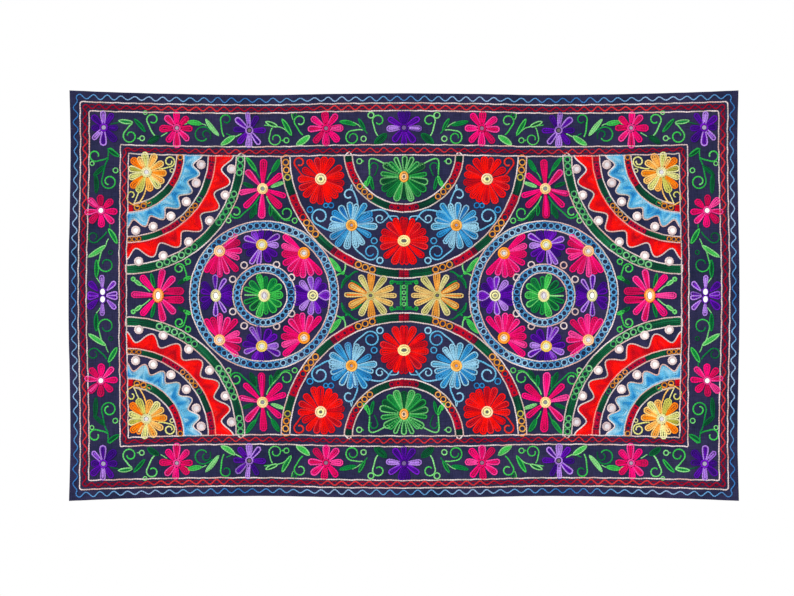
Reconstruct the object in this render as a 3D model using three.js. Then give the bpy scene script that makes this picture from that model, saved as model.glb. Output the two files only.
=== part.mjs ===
import * as THREE from 'three';

// An embroidered cotton wall hanging, held by its top edge, hanging in the XZ
// plane. Millimetres. +X runs to the right along the hanging, +Z is up, and the
// embroidered face looks along -Y. The origin is the middle of the top edge, at
// half the cloth's thickness.

// ---- driving dimensions -------------------------------------------------
const HALF_WIDTH = 750;        // centre line to a side edge, level with a corner
const HALF_HEIGHT = 459.6;     // centre height to a corner
const CLOTH = 1.6;             // thickness of the ground cloth with its stitching
const COLUMNS = 46;            // cells across the cloth
const ROWS = 28;               // cells down the cloth
const MIRROR_DIAMETER = 11;
const MIRROR_THICKNESS = 1.0;
const MIRROR_SIDES = 16;
const MIRROR_GAP = 0.4;        // between a mirror's back and the cloth
const FAN = { x: 617.7, z: 316.3 };   // centre of a corner fan, from the panel's centre

// The stitching draws the edges in. Each row is a distance along an edge from
// its middle, and how far the edge lies inside the corner-to-corner rectangle.
const LONG_EDGE = [
  { along: 0, inset: 6.5 }, { along: 84, inset: 7.1 }, { along: 165, inset: 7.8 },
  { along: 219, inset: 8.9 }, { along: 272, inset: 10.1 }, { along: 326, inset: 10.4 },
  { along: 380, inset: 9.9 }, { along: 461, inset: 8.8 }, { along: 541, inset: 7.2 },
  { along: 622, inset: 5.0 }, { along: 676, inset: 3.1 }, { along: 730, inset: 0.8 },
  { along: 750, inset: 0 },
];
const SHORT_EDGE = [
  { along: 0, inset: -1.5 }, { along: 52, inset: -1.5 }, { along: 105, inset: -1.0 },
  { along: 159, inset: 0.4 }, { along: 213, inset: 1.4 }, { along: 267, inset: 2.3 },
  { along: 321, inset: 2.7 }, { along: 348, inset: 2.8 }, { along: 401, inset: 1.9 },
  { along: 455, inset: 0.6 }, { along: 460, inset: 0.4 },
];

// Soft folds of the hanging cloth: where the crest is (from the panel's centre),
// how the crest leans from upright, its half length and half width, and how far
// it stands forward (or back, if negative).
const FOLDS = [
  { x: -566, z: -70, lean: 4, halfLength: 430, halfWidth: 92, height: 5.2 },
  { x: -352, z: -150, lean: -5, halfLength: 340, halfWidth: 78, height: 3.6 },
  { x: -118, z: -190, lean: 3, halfLength: 320, halfWidth: 84, height: 4.4 },
  { x: 104, z: -165, lean: -4, halfLength: 350, halfWidth: 76, height: 4.0 },
  { x: 318, z: -185, lean: 6, halfLength: 310, halfWidth: 88, height: 4.6 },
  { x: 583, z: -95, lean: -5, halfLength: 420, halfWidth: 90, height: 5.6 },
  { x: -455, z: 120, lean: 62, halfLength: 260, halfWidth: 70, height: 2.6 },
  { x: 470, z: 150, lean: -58, halfLength: 280, halfWidth: 72, height: 2.9 },
  { x: -235, z: -60, lean: 2, halfLength: 300, halfWidth: 60, height: -1.8 },
  { x: 212, z: -40, lean: -3, halfLength: 290, halfWidth: 62, height: -2.0 },
  { x: -722, z: -440, lean: 38, halfLength: 150, halfWidth: 95, height: 6.5 },
  { x: 728, z: -430, lean: -44, halfLength: 160, halfWidth: 90, height: 5.4 },
];

// One row for each pair of mirrors of a fan: the angle from the level, and the
// distances of the inner and the outer mirror from the fan's centre.
const FAN_MIRRORS = [
  { angle: 8.1, inner: 165.3, outer: 233.8 },
  { angle: 22.8, inner: 165.6, outer: 236.1 },
  { angle: 39.2, inner: 168.4, outer: 235.6 },
  { angle: 55.3, inner: 168.9, outer: 239.0 },
  { angle: 70.8, inner: 171.7, outer: 240.8 },
  { angle: 84.2, inner: 171.6, outer: 241.3 },
];
const CORNERS = [
  { name: 'tl', x: -1, z: 1 }, { name: 'tr', x: 1, z: 1 },
  { name: 'bl', x: -1, z: -1 }, { name: 'br', x: 1, z: -1 },
];

// ---- shape functions ----------------------------------------------------
function insetAt(edge, along) {
  const a = Math.min(Math.abs(along), edge[edge.length - 1].along);
  for (let i = 1; i < edge.length; i += 1) {
    const p = edge[i - 1];
    const q = edge[i];
    if (a <= q.along) {
      const t = (a - p.along) / (q.along - p.along);
      const s = t * t * (3 - 2 * t);
      return p.inset + (q.inset - p.inset) * (0.5 * t + 0.5 * s);
    }
  }
  return edge[edge.length - 1].inset;
}

const CENTRE_Z = -(HALF_HEIGHT - LONG_EDGE[0].inset);
const rad = THREE.MathUtils.degToRad;

// Forward stand of the cloth's middle surface, measured from the panel's centre.
function forward(x, z) {
  let sum = 0;
  for (const f of FOLDS) {
    const c = Math.cos(rad(f.lean));
    const s = Math.sin(rad(f.lean));
    const dx = x - f.x;
    const dz = z - f.z;
    const along = (dz * c + dx * s) / f.halfLength;
    const across = (dx * c - dz * s) / f.halfWidth;
    sum += f.height * Math.exp(-along * along - across * across);
  }
  // the top edge is held flat, so the folds die out towards it
  const hold = THREE.MathUtils.smoothstep(HALF_HEIGHT - z, 0, 260);
  return sum * hold;
}

// A point of the cloth's middle surface for u and w from -1 to 1.
function clothPoint(u, w) {
  const x = u * (HALF_WIDTH - insetAt(SHORT_EDGE, w * HALF_HEIGHT));
  const z = w * (HALF_HEIGHT - insetAt(LONG_EDGE, u * HALF_WIDTH));
  return new THREE.Vector3(x, -forward(x, z), CENTRE_Z + z);
}

// ---- ground cloth -------------------------------------------------------
const grid = [];
for (let j = 0; j <= ROWS; j += 1) {
  const row = [];
  for (let i = 0; i <= COLUMNS; i += 1) {
    row.push(clothPoint(-1 + (2 * i) / COLUMNS, -1 + (2 * j) / ROWS));
  }
  grid.push(row);
}

function clothGeometry() {
  const position = [];
  const index = [];
  const across = COLUMNS + 1;
  const faceStart = across * (ROWS + 1);
  for (const side of [-1, 1]) {
    for (const row of grid) {
      for (const p of row) position.push(p.x, p.y + (side * CLOTH) / 2, p.z);
    }
  }
  const front = (i, j) => j * across + i;
  const back = (i, j) => faceStart + j * across + i;
  for (let j = 0; j < ROWS; j += 1) {
    for (let i = 0; i < COLUMNS; i += 1) {
      index.push(front(i, j), front(i + 1, j), front(i + 1, j + 1));
      index.push(front(i, j), front(i + 1, j + 1), front(i, j + 1));
      index.push(back(i, j), back(i + 1, j + 1), back(i + 1, j));
      index.push(back(i, j), back(i, j + 1), back(i + 1, j + 1));
    }
  }
  for (let i = 0; i < COLUMNS; i += 1) {
    index.push(front(i, 0), back(i + 1, 0), front(i + 1, 0));
    index.push(front(i, 0), back(i, 0), back(i + 1, 0));
    index.push(front(i, ROWS), front(i + 1, ROWS), back(i + 1, ROWS));
    index.push(front(i, ROWS), back(i + 1, ROWS), back(i, ROWS));
  }
  for (let j = 0; j < ROWS; j += 1) {
    index.push(front(0, j), front(0, j + 1), back(0, j + 1));
    index.push(front(0, j), back(0, j + 1), back(0, j));
    index.push(front(COLUMNS, j), back(COLUMNS, j + 1), front(COLUMNS, j + 1));
    index.push(front(COLUMNS, j), back(COLUMNS, j), back(COLUMNS, j + 1));
  }
  const geometry = new THREE.BufferGeometry();
  geometry.setAttribute('position', new THREE.Float32BufferAttribute(position, 3));
  geometry.setIndex(index);
  geometry.computeVertexNormals();
  return geometry;
}

// Place on the faceted cloth under a point (x, z), with the facet's normal
// looking forward.
function onCloth(x, z) {
  const p = new THREE.Vector2(x, z);
  const flat = (v) => new THREE.Vector2(v.x, v.z);
  const side = (a, b) => (b.x - a.x) * (p.y - a.y) - (b.y - a.y) * (p.x - a.x);
  for (let j = 0; j < ROWS; j += 1) {
    for (let i = 0; i < COLUMNS; i += 1) {
      const a = grid[j][i];
      const b = grid[j][i + 1];
      const c = grid[j + 1][i + 1];
      const d = grid[j + 1][i];
      for (const [p0, p1, p2] of [[a, b, c], [a, c, d]]) {
        const [f0, f1, f2] = [flat(p0), flat(p1), flat(p2)];
        if (side(f0, f1) >= 0 && side(f1, f2) >= 0 && side(f2, f0) >= 0) {
          const normal = new THREE.Vector3().subVectors(p1, p0)
            .cross(new THREE.Vector3().subVectors(p2, p0)).normalize();
          const y = p0.y - (normal.x * (x - p0.x) + normal.z * (z - p0.z)) / normal.y;
          return { point: new THREE.Vector3(x, y, z), normal };
        }
      }
    }
  }
  throw new Error('point off the cloth');
}

const tapestry = new THREE.Group();

const indigoCotton = new THREE.MeshStandardMaterial({ color: 0x241f45, roughness: 0.95, metalness: 0 });
const cloth = new THREE.Mesh(clothGeometry(), indigoCotton);
cloth.name = 'ground_cloth';
tapestry.add(cloth);

// ---- small round mirrors of the four corner fans ------------------------
const silvered = new THREE.MeshStandardMaterial({ color: 0xdfe2e6, roughness: 0.08, metalness: 1 });
const disc = new THREE.CylinderGeometry(MIRROR_DIAMETER / 2, MIRROR_DIAMETER / 2, MIRROR_THICKNESS, MIRROR_SIDES);
const UP = new THREE.Vector3(0, 1, 0);
const stand = CLOTH / 2 + MIRROR_GAP + MIRROR_THICKNESS / 2;

for (const corner of CORNERS) {
  FAN_MIRRORS.forEach((row, k) => {
    for (const [ring, reach] of [['in', row.inner], ['out', row.outer]]) {
      const x = corner.x * (FAN.x - reach * Math.cos(rad(row.angle)));
      const z = CENTRE_Z + corner.z * (FAN.z - reach * Math.sin(rad(row.angle)));
      const { point, normal } = onCloth(x, z);
      const mirror = new THREE.Mesh(disc, silvered);
      mirror.name = `mirror_${corner.name}_${ring}_${k + 1}`;
      mirror.position.copy(point).addScaledVector(normal, stand);
      mirror.quaternion.setFromUnitVectors(UP, normal);
      tapestry.add(mirror);
    }
  });
}

export default tapestry;
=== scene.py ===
import math

import bpy
import numpy as np
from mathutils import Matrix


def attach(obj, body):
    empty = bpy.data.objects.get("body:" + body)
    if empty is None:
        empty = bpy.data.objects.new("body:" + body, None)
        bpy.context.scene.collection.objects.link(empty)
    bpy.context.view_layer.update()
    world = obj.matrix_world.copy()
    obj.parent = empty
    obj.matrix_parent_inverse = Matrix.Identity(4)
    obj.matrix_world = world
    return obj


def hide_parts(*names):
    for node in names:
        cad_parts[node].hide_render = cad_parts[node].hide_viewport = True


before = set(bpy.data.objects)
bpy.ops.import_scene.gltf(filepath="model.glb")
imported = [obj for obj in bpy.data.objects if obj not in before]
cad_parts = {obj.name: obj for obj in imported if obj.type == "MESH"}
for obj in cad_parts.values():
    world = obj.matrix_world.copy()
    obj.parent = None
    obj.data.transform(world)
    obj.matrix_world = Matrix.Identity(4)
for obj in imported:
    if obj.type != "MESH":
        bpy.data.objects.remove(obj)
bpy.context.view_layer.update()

# ---------------------------------------------------------------- sizes
# Millimetres while the work is laid out, metres in the finished meshes. The
# layout grid is 794 x 596 steps of STEP mm with the panel's centre at CENTRE;
# x runs right and y runs down. Everything is laid out once, for the upper left
# quarter, and repeated in mirror image.
STEP = 2.2385
CENTRE = (404.0, 295.5)
HALF_WIDTH = 750.0
HALF_HEIGHT = 459.6
CLOTH = 1.6
HEM = 15.0                 # width of the turned hem, on the back
HEM_EXTRA = 0.8            # how much thicker the hem is
STITCH = 5.8               # length of one chain stitch
ROW = 1.75                 # width of a row of chain stitch, in layout steps
CORD = 1.5                 # width of the pale outline rows, in layout steps
SEED = 11

LONG_EDGE = np.array([     # distance from the middle, inset
    (0, 6.5), (84, 7.1), (165, 7.8), (219, 8.9), (272, 10.1), (326, 10.4), (380, 9.9),
    (461, 8.8), (541, 7.2), (622, 5.0), (676, 3.1), (730, 0.8), (750, 0.0)])
SHORT_EDGE = np.array([
    (0, -1.5), (52, -1.5), (105, -1.0), (159, 0.4), (213, 1.4), (267, 2.3),
    (321, 2.7), (348, 2.8), (401, 1.9), (455, 0.6), (460, 0.4)])
FOLDS = [                  # crest x, z, lean, half length, half width, height
    (-566, -70, 4, 430, 92, 5.2), (-352, -150, -5, 340, 78, 3.6),
    (-118, -190, 3, 320, 84, 4.4), (104, -165, -4, 350, 76, 4.0),
    (318, -185, 6, 310, 88, 4.6), (583, -95, -5, 420, 90, 5.6),
    (-455, 120, 62, 260, 70, 2.6), (470, 150, -58, 280, 72, 2.9),
    (-235, -60, 2, 300, 60, -1.8), (212, -40, -3, 290, 62, -2.0),
    (-722, -440, 38, 150, 95, 6.5), (728, -430, -44, 160, 90, 5.4)]
CENTRE_Z = -(HALF_HEIGHT - 6.5)
FAN = (617.7, 316.3)
FAN_MIRRORS = [            # angle, inner reach, outer reach
    (8.1, 165.3, 233.8), (22.8, 165.6, 236.1), (39.2, 168.4, 235.6),
    (55.3, 168.9, 239.0), (70.8, 171.7, 240.8), (84.2, 171.6, 241.3)]


# ---------------------------------------------------------------- the cloth's shape
def inset(edge, along):
    a = np.minimum(np.abs(along), edge[-1, 0])
    i = np.clip(np.searchsorted(edge[:, 0], a, side="left"), 1, len(edge) - 1)
    t = (a - edge[i - 1, 0]) / (edge[i, 0] - edge[i - 1, 0])
    s = 0.5 * t + 0.5 * t * t * (3 - 2 * t)
    return edge[i - 1, 1] + (edge[i, 1] - edge[i - 1, 1]) * s


def forward(x, z):
    """How far the cloth's middle surface stands forward; x, z in mm from the panel's centre."""
    total = np.zeros(np.broadcast(x, z).shape)
    for fx, fz, lean, length, width, height in FOLDS:
        c, s = math.cos(math.radians(lean)), math.sin(math.radians(lean))
        dx, dz = x - fx, z - fz
        along, across = (dz * c + dx * s) / length, (dx * c - dz * s) / width
        total = total + height * np.exp(-along * along - across * across)
    t = np.clip((HALF_HEIGHT - z) / 260.0, 0, 1)
    return total * t * t * (3 - 2 * t)


def pucker(x, z):
    """The small puckers that dense stitching leaves in cotton."""
    return 0.26 * (np.sin(x / 9.7 + 1.9 * np.sin(z / 31.0)) * np.sin(z / 11.3 + 1.4 * np.sin(x / 37.0))
                   + 0.6 * np.sin((x + 0.7 * z) / 17.0 + 0.8) * np.sin((z - 0.5 * x) / 21.0))


def face_y(x, z):
    return -forward(x, z) - CLOTH / 2 - pucker(x, z)


def back_y(x, z):
    return -forward(x, z) + CLOTH / 2 - pucker(x, z)


# ---------------------------------------------------------------- yarns
def linear(*rgb):
    c = np.array(rgb, float) / 255.0
    return np.where(c <= 0.04045, c / 12.92, ((c + 0.055) / 1.055) ** 2.4)


# Space-dyed yarns. Each runs from its darkest to its palest colour and back:
# phase 0 is the darkest, 0.25 the middle, 0.5 the bright and 0.75 the palest.
YARNS = {k: np.array([linear(*c) for c in v]) for k, v in {
    "blue": [(24, 66, 138), (54, 108, 174), (104, 154, 200), (160, 184, 214)],
    "azure": [(16, 62, 118), (42, 108, 166), (92, 154, 198), (150, 194, 220)],
    "sky": [(44, 106, 172), (54, 136, 194), (98, 172, 208), (150, 198, 220)],
    "red": [(116, 4, 30), (154, 10, 38), (200, 34, 42), (222, 70, 60)],
    "rose": [(108, 16, 38), (148, 24, 46), (196, 62, 66), (214, 88, 80)],
    "scarlet": [(174, 0, 18), (208, 4, 20), (240, 30, 26), (230, 60, 62)],
    "maroon": [(96, 4, 32), (138, 8, 44), (176, 20, 54), (196, 44, 66)],
    "pink": [(186, 0, 72), (216, 6, 88), (238, 22, 114), (240, 82, 154)],
    "purple": [(48, 2, 112), (80, 14, 150), (118, 44, 188), (178, 134, 222)],
    "leaf": [(4, 68, 42), (14, 120, 58), (68, 184, 82), (136, 208, 132)],
    "fern": [(6, 66, 38), (16, 108, 52), (54, 160, 76), (112, 186, 114)],
    "moss": [(4, 42, 35), (6, 60, 42), (12, 82, 50), (32, 110, 70)],
    "sage": [(20, 112, 68), (66, 156, 92), (118, 190, 128), (160, 206, 160)],
    "night": [(26, 18, 52), (34, 22, 66), (40, 26, 74), (34, 22, 66)],
    "orange": [(240, 118, 38), (242, 142, 54), (244, 172, 86), (240, 202, 126)],
    "honey": [(222, 120, 56), (222, 148, 70), (222, 174, 98), (216, 190, 124)],
    "hay": [(150, 138, 58), (180, 170, 88), (196, 190, 116), (212, 202, 148)],
    "ochre": [(176, 96, 34), (212, 134, 52), (226, 162, 84), (222, 178, 112)],
    "lime": [(170, 162, 62), (196, 192, 92), (214, 212, 128), (228, 222, 162)],
    "cream": [(246, 204, 138), (246, 224, 156), (236, 230, 160), (240, 238, 196)],
    "peach": [(238, 150, 84), (248, 178, 112), (252, 204, 152), (244, 216, 184)],
    "gold": [(200, 120, 40), (230, 172, 76), (240, 206, 106), (238, 222, 150)],
    "pale": [(212, 172, 164), (208, 186, 184), (226, 210, 208), (192, 180, 172)],
    "blush": [(238, 128, 112), (228, 156, 148), (224, 180, 174), (214, 180, 172)],
    "shell": [(186, 164, 166), (212, 192, 190), (234, 220, 216), (186, 162, 162)],
}.items()}


def tone(yarn, t):
    """Colours of a yarn at the phases t, one turn being its whole dye repeat."""
    stops = YARNS[yarn]
    t = np.mod(np.atleast_1d(t), 1.0) * len(stops)
    i = np.floor(t).astype(int) % len(stops)
    f = t - np.floor(t)
    f = (f * f * (3 - 2 * f))[:, None]
    return stops[i] * (1 - f) + stops[(i + 1) % len(stops)] * f


# ---------------------------------------------------------------- rows of chain stitch
# Section of a row: place across (of half the width) and height (of the whole)
SECTION = np.array([(-1.0, 0.0), (-0.58, 0.90), (0.0, 0.58), (0.58, 1.0), (1.0, 0.0)])


class Work:
    """The rows of one embroidered area, gathered into one mesh."""

    def __init__(self, name):
        self.name = name
        self.co, self.col, self.tag, self.quads, self.fives = [], [], [], [], []
        self.back = []     # centre lines for the reverse
        self.count = 0

    def add(self, co, col, tag, quads, fives):
        self.co.append(co)
        self.col.append(col)
        self.tag.append(tag)
        self.quads.append(quads + self.count)
        if fives is not None:
            self.fives.append(fives + self.count)
        self.count += len(co)


def along(points, closed):
    if closed:
        points = np.vstack([points, points[:1]])
    d = np.hypot(*np.diff(points, axis=0).T)
    keep = np.r_[True, d > 1e-6]
    points, d = points[keep], d[keep[1:]]
    return points, np.r_[0.0, np.cumsum(d)], keep


def lay(work, pts, yarn, phase, rng, width=ROW, height=1.5, lift=0.0, closed=False,
        cycle=420.0, stitch=STITCH, back=True, spread=0.02, fine=1.0, edge=0.40):
    """One row of chain stitch along pts (mm from the panel's centre, x and z)."""
    ph = None
    if np.ndim(phase):
        ph = np.asarray(phase, float)
        if closed:
            ph = np.r_[ph, ph[:1]]
    pts, s, keep = along(np.asarray(pts, float), closed)
    if len(pts) < 2 or s[-1] < 2.0:
        return
    if ph is not None:
        ph = ph[keep]
    total = s[-1]
    loops = max(1, int(round(total / (stitch * fine))))
    if closed:
        loops = max(loops, 4)
    n = 2 * loops + (0 if closed else 1)
    at = np.linspace(0, total, 2 * loops + 1)[:n]
    x, z = np.interp(at, s, pts[:, 0]), np.interp(at, s, pts[:, 1])
    if closed:
        tx, tz = np.roll(x, -1) - np.roll(x, 1), np.roll(z, -1) - np.roll(z, 1)
    else:
        tx, tz = np.gradient(x), np.gradient(z)
    ln = np.hypot(tx, tz) + 1e-9
    nx, nz = -tz / ln, tx / ln
    mid = (np.arange(n) % 2).astype(float)      # 0 where stitches link, 1 at a stitch's belly
    wide = (0.86 + 0.22 * mid) * (1 + rng.normal(0, 0.035, n)) * width * STEP / 2
    high = (0.80 + 0.22 * mid) * (1 + rng.normal(0, 0.05, n)) * height
    if not closed:
        wide[0] *= 0.62
        wide[-1] *= 0.62
        high[0] *= 0.7
        high[-1] *= 0.7
    a, h = SECTION[:, 0], SECTION[:, 1]
    px = x[:, None] + nx[:, None] * wide[:, None] * a
    pz = z[:, None] + nz[:, None] * wide[:, None] * a
    up = high[:, None] * h + lift * (h > 0) - 0.25 * (h == 0)
    py = face_y(px, pz) - up
    co = np.stack([px, py, pz], -1).reshape(-1, 3)
    if ph is None:
        ph = phase + at / cycle
    else:
        ph = np.interp(at, s, ph)
    base = tone(yarn, np.abs(ph + rng.normal(0, spread))) * (1 + rng.normal(0, 0.035, (n, 1)))
    # painted shade: each row's colour is darkened by edge (0.40 unless given) at its two sides, to 0.74 in its middle
    # dip and to 0.84 where the stitches link, for the shade in the grooves
    painted_shade = np.array([edge, 1.0, 0.74, 1.0, edge])
    painted_shade = painted_shade[None, :] * (0.84 + 0.18 * mid[:, None])
    col = (base[:, None, :] * painted_shade[..., None]).reshape(-1, 3)
    tag = np.empty((n, 5, 3))
    tag[..., 0] = mid[:, None]
    tag[..., 1] = a * 0.5 + 0.5
    tag[..., 2] = 0.5 + 0.5 * np.sin(at / 2.9)[:, None]
    i = np.arange(n if closed else n - 1)
    j = (i + 1) % n
    quads = np.vstack([np.stack([i * 5 + k, j * 5 + k, j * 5 + k + 1, i * 5 + k + 1], -1) for k in range(4)])
    fives = None
    if not closed:
        last = (n - 1) * 5
        fives = np.array([[0, 1, 2, 3, 4], [last + 4, last + 3, last + 2, last + 1, last]])
    work.add(co, col, tag.reshape(-1, 3), quads, fives)
    if back:
        work.back.append((x[::2], z[::2], base[::2], closed))


def curve(points, per=8, closed=False):
    """A smooth line through a few points."""
    p = np.asarray(points, float)
    if len(p) < 3:
        return p
    if closed:
        q = np.vstack([p[-1:], p, p[:2]])
    else:
        q = np.vstack([2 * p[0] - p[1], p, 2 * p[-1] - p[-2]])
    t = np.linspace(0, 1, per, endpoint=False)[:, None]
    out = []
    for k in range(1, len(q) - 2):
        a, b, c, d = q[k - 1], q[k], q[k + 1], q[k + 2]
        out.append(0.5 * (2 * b + (c - a) * t + (2 * a - 5 * b + 4 * c - d) * t ** 2
                          + (3 * b - a - 3 * c + d) * t ** 3))
    if not closed:
        out.append(q[-2][None, :])
    return np.vstack(out)


def polar(cx, cy, r, deg):
    """Layout points; angles run clockwise from the right, as y runs down."""
    a = np.radians(deg)
    return np.stack([cx + r * np.cos(a), cy + r * np.sin(a)], -1)


class Pen:
    """Draws motifs on a Work, in layout steps, mirrored into one quarter."""

    def __init__(self, work, mx=1, mz=1, seed=0):
        self.work, self.mx, self.mz = work, mx, mz
        self.rng = np.random.default_rng(SEED * 1009 + seed * 31 + (mx + 2) * 7 + (mz + 2))

    def place(self, pts):
        p = np.atleast_2d(np.asarray(pts, float))
        return np.stack([self.mx * (p[:, 0] - CENTRE[0]) * STEP,
                         self.mz * (CENTRE[1] - p[:, 1]) * STEP], -1)

    def row(self, pts, yarn, phase=0.3, **kw):
        pts = np.array(pts, float)
        wander, wobble = kw.pop("wander", 0.10), kw.pop("wobble", 0.0)
        closed = kw.get("closed", False)
        if wander and len(pts) > 2:
            f = np.linspace(0, 1, len(pts))
            for axis in (0, 1):
                k = self.rng.integers(1, 4)
                turns = 2 * math.pi * (k if closed else k * 0.7)
                pts[:, axis] += wander * np.sin(turns * f + self.rng.uniform(0, 6.28))
        if wobble and len(pts) > 4:
            s = np.r_[0, np.cumsum(np.hypot(*np.diff(pts, axis=0).T))]
            a, b, c = self.rng.uniform(0, 6.28, 3)
            side = wobble * (0.5 * np.sin(s / 2.7 + a + 0.8 * np.sin(s / 9.0)) + 0.35 * np.sin(s / 4.6 + b)
                             + 0.3 * np.sin(s / 1.35 + c))
            if closed:
                side *= np.clip(np.minimum(s, s[-1] - s) / 6.0, 0, 1)
            t = np.gradient(pts, axis=0)
            t /= np.hypot(*t.T)[:, None] + 1e-9
            pts = pts + np.stack([-t[:, 1], t[:, 0]], -1) * side[:, None]
        lay(self.work, self.place(pts), yarn, phase, self.rng, **kw)

    # -- motifs
    def ring(self, x, y, r, yarn, phase=0.4, width=1.45, stretch=1.0, **kw):
        kw.setdefault("stitch", 4.2)
        start = self.rng.uniform(0, 360)
        p = polar(0, 0, r, np.linspace(0, 360, 20, endpoint=False) + start) * (1.0, stretch)
        self.row(p + (x, y), yarn, phase, width=width, closed=True, wander=0.08, **kw)

    def petal(self, x, y, deg, r0, r1, half, edge, fill, base=0.75, width=ROW, lift=0.0, bend=0.0):
        """A petal filled with nested loops of chain stitch, from r0 to r1 out of (x, y)."""
        c, s = math.cos(math.radians(deg)), math.sin(math.radians(deg))
        reach, start, w2 = r1 - width / 2, r0, half - width / 2
        b, k = max(base - width / 2, 0.05), 0
        span = r1 - r0

        def put(t, v, yarn, phase, **kw):
            v = v + bend * np.sin(math.pi * np.clip((t - r0) / span, 0, 1) * 0.8)
            self.row(np.stack([x + t * c - v * s, y + t * s + v * c], -1), yarn,
                     abs(phase + self.rng.normal(0, 0.055)), wander=0.08, cycle=900, **kw)

        while w2 > 0.3 and reach - start > 1.2 * w2:
            f = np.linspace(0, 1, 7)
            t = start + (reach - w2 - start) * f
            side = b + (w2 - b) * np.sin(f * math.pi / 2) ** 1.15
            g = np.radians(np.linspace(75, -75, 7))
            t = np.r_[t, reach - w2 + w2 * np.cos(g), t[::-1]]
            v = np.r_[side, w2 * np.sin(g), -side[::-1]]
            yarn, phase = edge if k == 0 else fill
            put(t, v, yarn, phase, width=width * (1 if k else 0.94), lift=lift, back=(k == 0))
            w2 -= width * 1.06
            reach -= width * 1.0
            start += width * 0.9
            b = max(b - width * 0.5, 0.05)
            k += 1
        if w2 > -0.66 and reach - start > 2.0:
            yarn, phase = fill if k else edge
            t = np.linspace(start + (reach - start) * (0.12 if k else 0.0), reach, 6)
            put(t, 0 * t, yarn, phase, width=max(1.1, min(width * 1.1, 2 * (w2 + width / 2) + 0.25)),
                lift=lift - 0.15, back=(k == 0))

    def flower(self, x, y, yarn, petals, r0=5.6, base=1.2, width=ROW):
        """Petals as (angle, reach, half width, shading), shading from CODES, or with their own yarn."""
        for k, (deg, r, half, code, *own) in enumerate(petals):
            e, f = CODES[code]
            y_own = own[0] if own else yarn
            g = self.rng.normal(0, 1, 4)
            self.petal(x, y, deg + 0.8 * g[0], r0, r * (1 + 0.008 * g[1]), half * (1.05 + 0.03 * g[2]),
                       (y_own, e), (y_own, f), base=min(base, half), width=width,
                       lift=0.22 * (k % 2) + (0.12 if code in "olrx" else 0.0), bend=0.28 * g[3])

    def leaf(self, x0, y0, x1, y1, half, code, yarn="leaf", width=1.5, lift=0.0):
        """A leaf between two points, filled with nested loops."""
        length = math.hypot(x1 - x0, y1 - y0)
        c, s = (x1 - x0) / length, (y1 - y0) / length
        w2, a, k = half - width / 2, 0.0, 0
        bend = 0.35 * self.rng.normal()
        edge, fill = CODES[code]

        def put(t, v, phase, **kw):
            v = v + bend * np.sin(math.pi * t / length)
            self.row(np.stack([x0 + t * c - v * s, y0 + t * s + v * c], -1), yarn,
                     abs(phase + self.rng.normal(0, 0.03)), wander=0.06, cycle=900, width=width, **kw)

        while w2 > 0.2 and length - 2 * a > 3 * w2:
            f = np.linspace(0, 1, 9)
            t = a + (length - 2 * a) * f
            v = w2 * np.sin(f * math.pi) ** 0.6
            put(np.r_[t, t[-2:0:-1]], np.r_[v, -v[-2:0:-1]], fill if k else edge,
                lift=lift, closed=True, back=(k == 0))
            w2 -= width * 1.02
            a += width * 1.2
            k += 1
        if w2 > -0.6 and length - 2 * a > 2:
            t = np.linspace(a, length - a, 5)
            put(t, 0 * t, fill, lift=lift - 0.1, back=False)

    def stem(self, pts, yarn, phase, width=1.5, **kw):
        p = curve(pts, 7)
        if np.ndim(phase):
            phase = np.linspace(phase[0], phase[1], len(p))
        self.row(p, yarn, phase, width=width, **kw)

    def scroll(self, x0, y0, cx, cy, r, sweep, yarn, phase, width=1.5, **kw):
        """A stem from (x0, y0) that runs into a spiral of radius r about (cx, cy), turning by sweep degrees."""
        d, a = math.hypot(x0 - cx, y0 - cy), math.atan2(y0 - cy, x0 - cx)
        turn, lead, out = math.copysign(1, sweep), np.zeros((0, 2)), d
        if d > 1.12 * r:
            a += turn * math.acos(r / d)
            tx, ty = cx + r * math.cos(a), cy + r * math.sin(a)
            f = np.linspace(0, 1, 9)[:-1, None]
            span = math.hypot(tx - x0, ty - y0)
            side = np.array([(ty - y0), -(tx - x0)]) / max(span, 1e-6) * turn
            lead = (x0, y0) + f * (tx - x0, ty - y0) + side * 0.10 * span * np.sin(math.pi * f) * (1 - f)
            out = r
        f = np.linspace(0, 1, max(10, int(abs(sweep) / 13)))
        radius = (r + (out - r) * np.clip(1 - 3 * f, 0, 1)) * (1 - 0.60 * f ** 1.25 * min(1.0, abs(sweep) / 400))
        b = a + math.radians(sweep) * f
        p = np.vstack([lead, np.stack([cx + radius * np.cos(b), cy + radius * np.sin(b)], -1)])
        if np.ndim(phase):
            phase = np.linspace(phase[0], phase[1], len(p))
        self.row(p, yarn, phase, width=width, **kw)

    def sprig(self, items, yarn="leaf"):
        """Stems ("s", points, phase, width), scrolls ("c", start and centre, radius, sweep, phase, width), rings ("r", x, y, r, phase), leaves ("l", ends, half, code)."""
        for kind, *v in items:
            if kind == "s":
                self.stem(v[0], yarn, v[1], width=v[2], lift=-0.3)
            elif kind == "c":
                self.scroll(*v[0], v[1], v[2], yarn, v[3], width=v[4], lift=-0.3)
            elif kind == "r":
                self.ring(v[0], v[1], v[2], yarn, v[3], width=v[4] if len(v) > 4 else 1.35)
            else:
                (x0, y0, x1, y1), half, code = v
                self.leaf(x0, y0, x1, y1, half, code, yarn, lift=-0.15)

    def eye(self, x, y, glass, rings):
        """A mirror (half width, half height, tint of painted reflection) held by rings of thread.

        Each ring is (half width, half height, row width, yarn, phase)."""
        rx, ry, tint = glass
        MIRRORS.append((self.place((x, y))[0], rx * STEP, ry * STEP, PAINTED_REFLECTION_TINTS[tint], self.work.name))
        for k, (ax, ay, width, yarn, phase) in enumerate(rings):
            p = polar(0, 0, 1, np.linspace(0, 360, 28, endpoint=False)) * (ax, ay) + (x, y)
            # the rings round a mirror get lighter painted shade at their sides (0.66) than other rows
            self.row(p, yarn, phase, width=width * 1.1, height=2.1 - 0.3 * k, lift=0.55, closed=True,
                     stitch=3.4, wander=0.06, back=False, edge=0.66)

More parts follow.
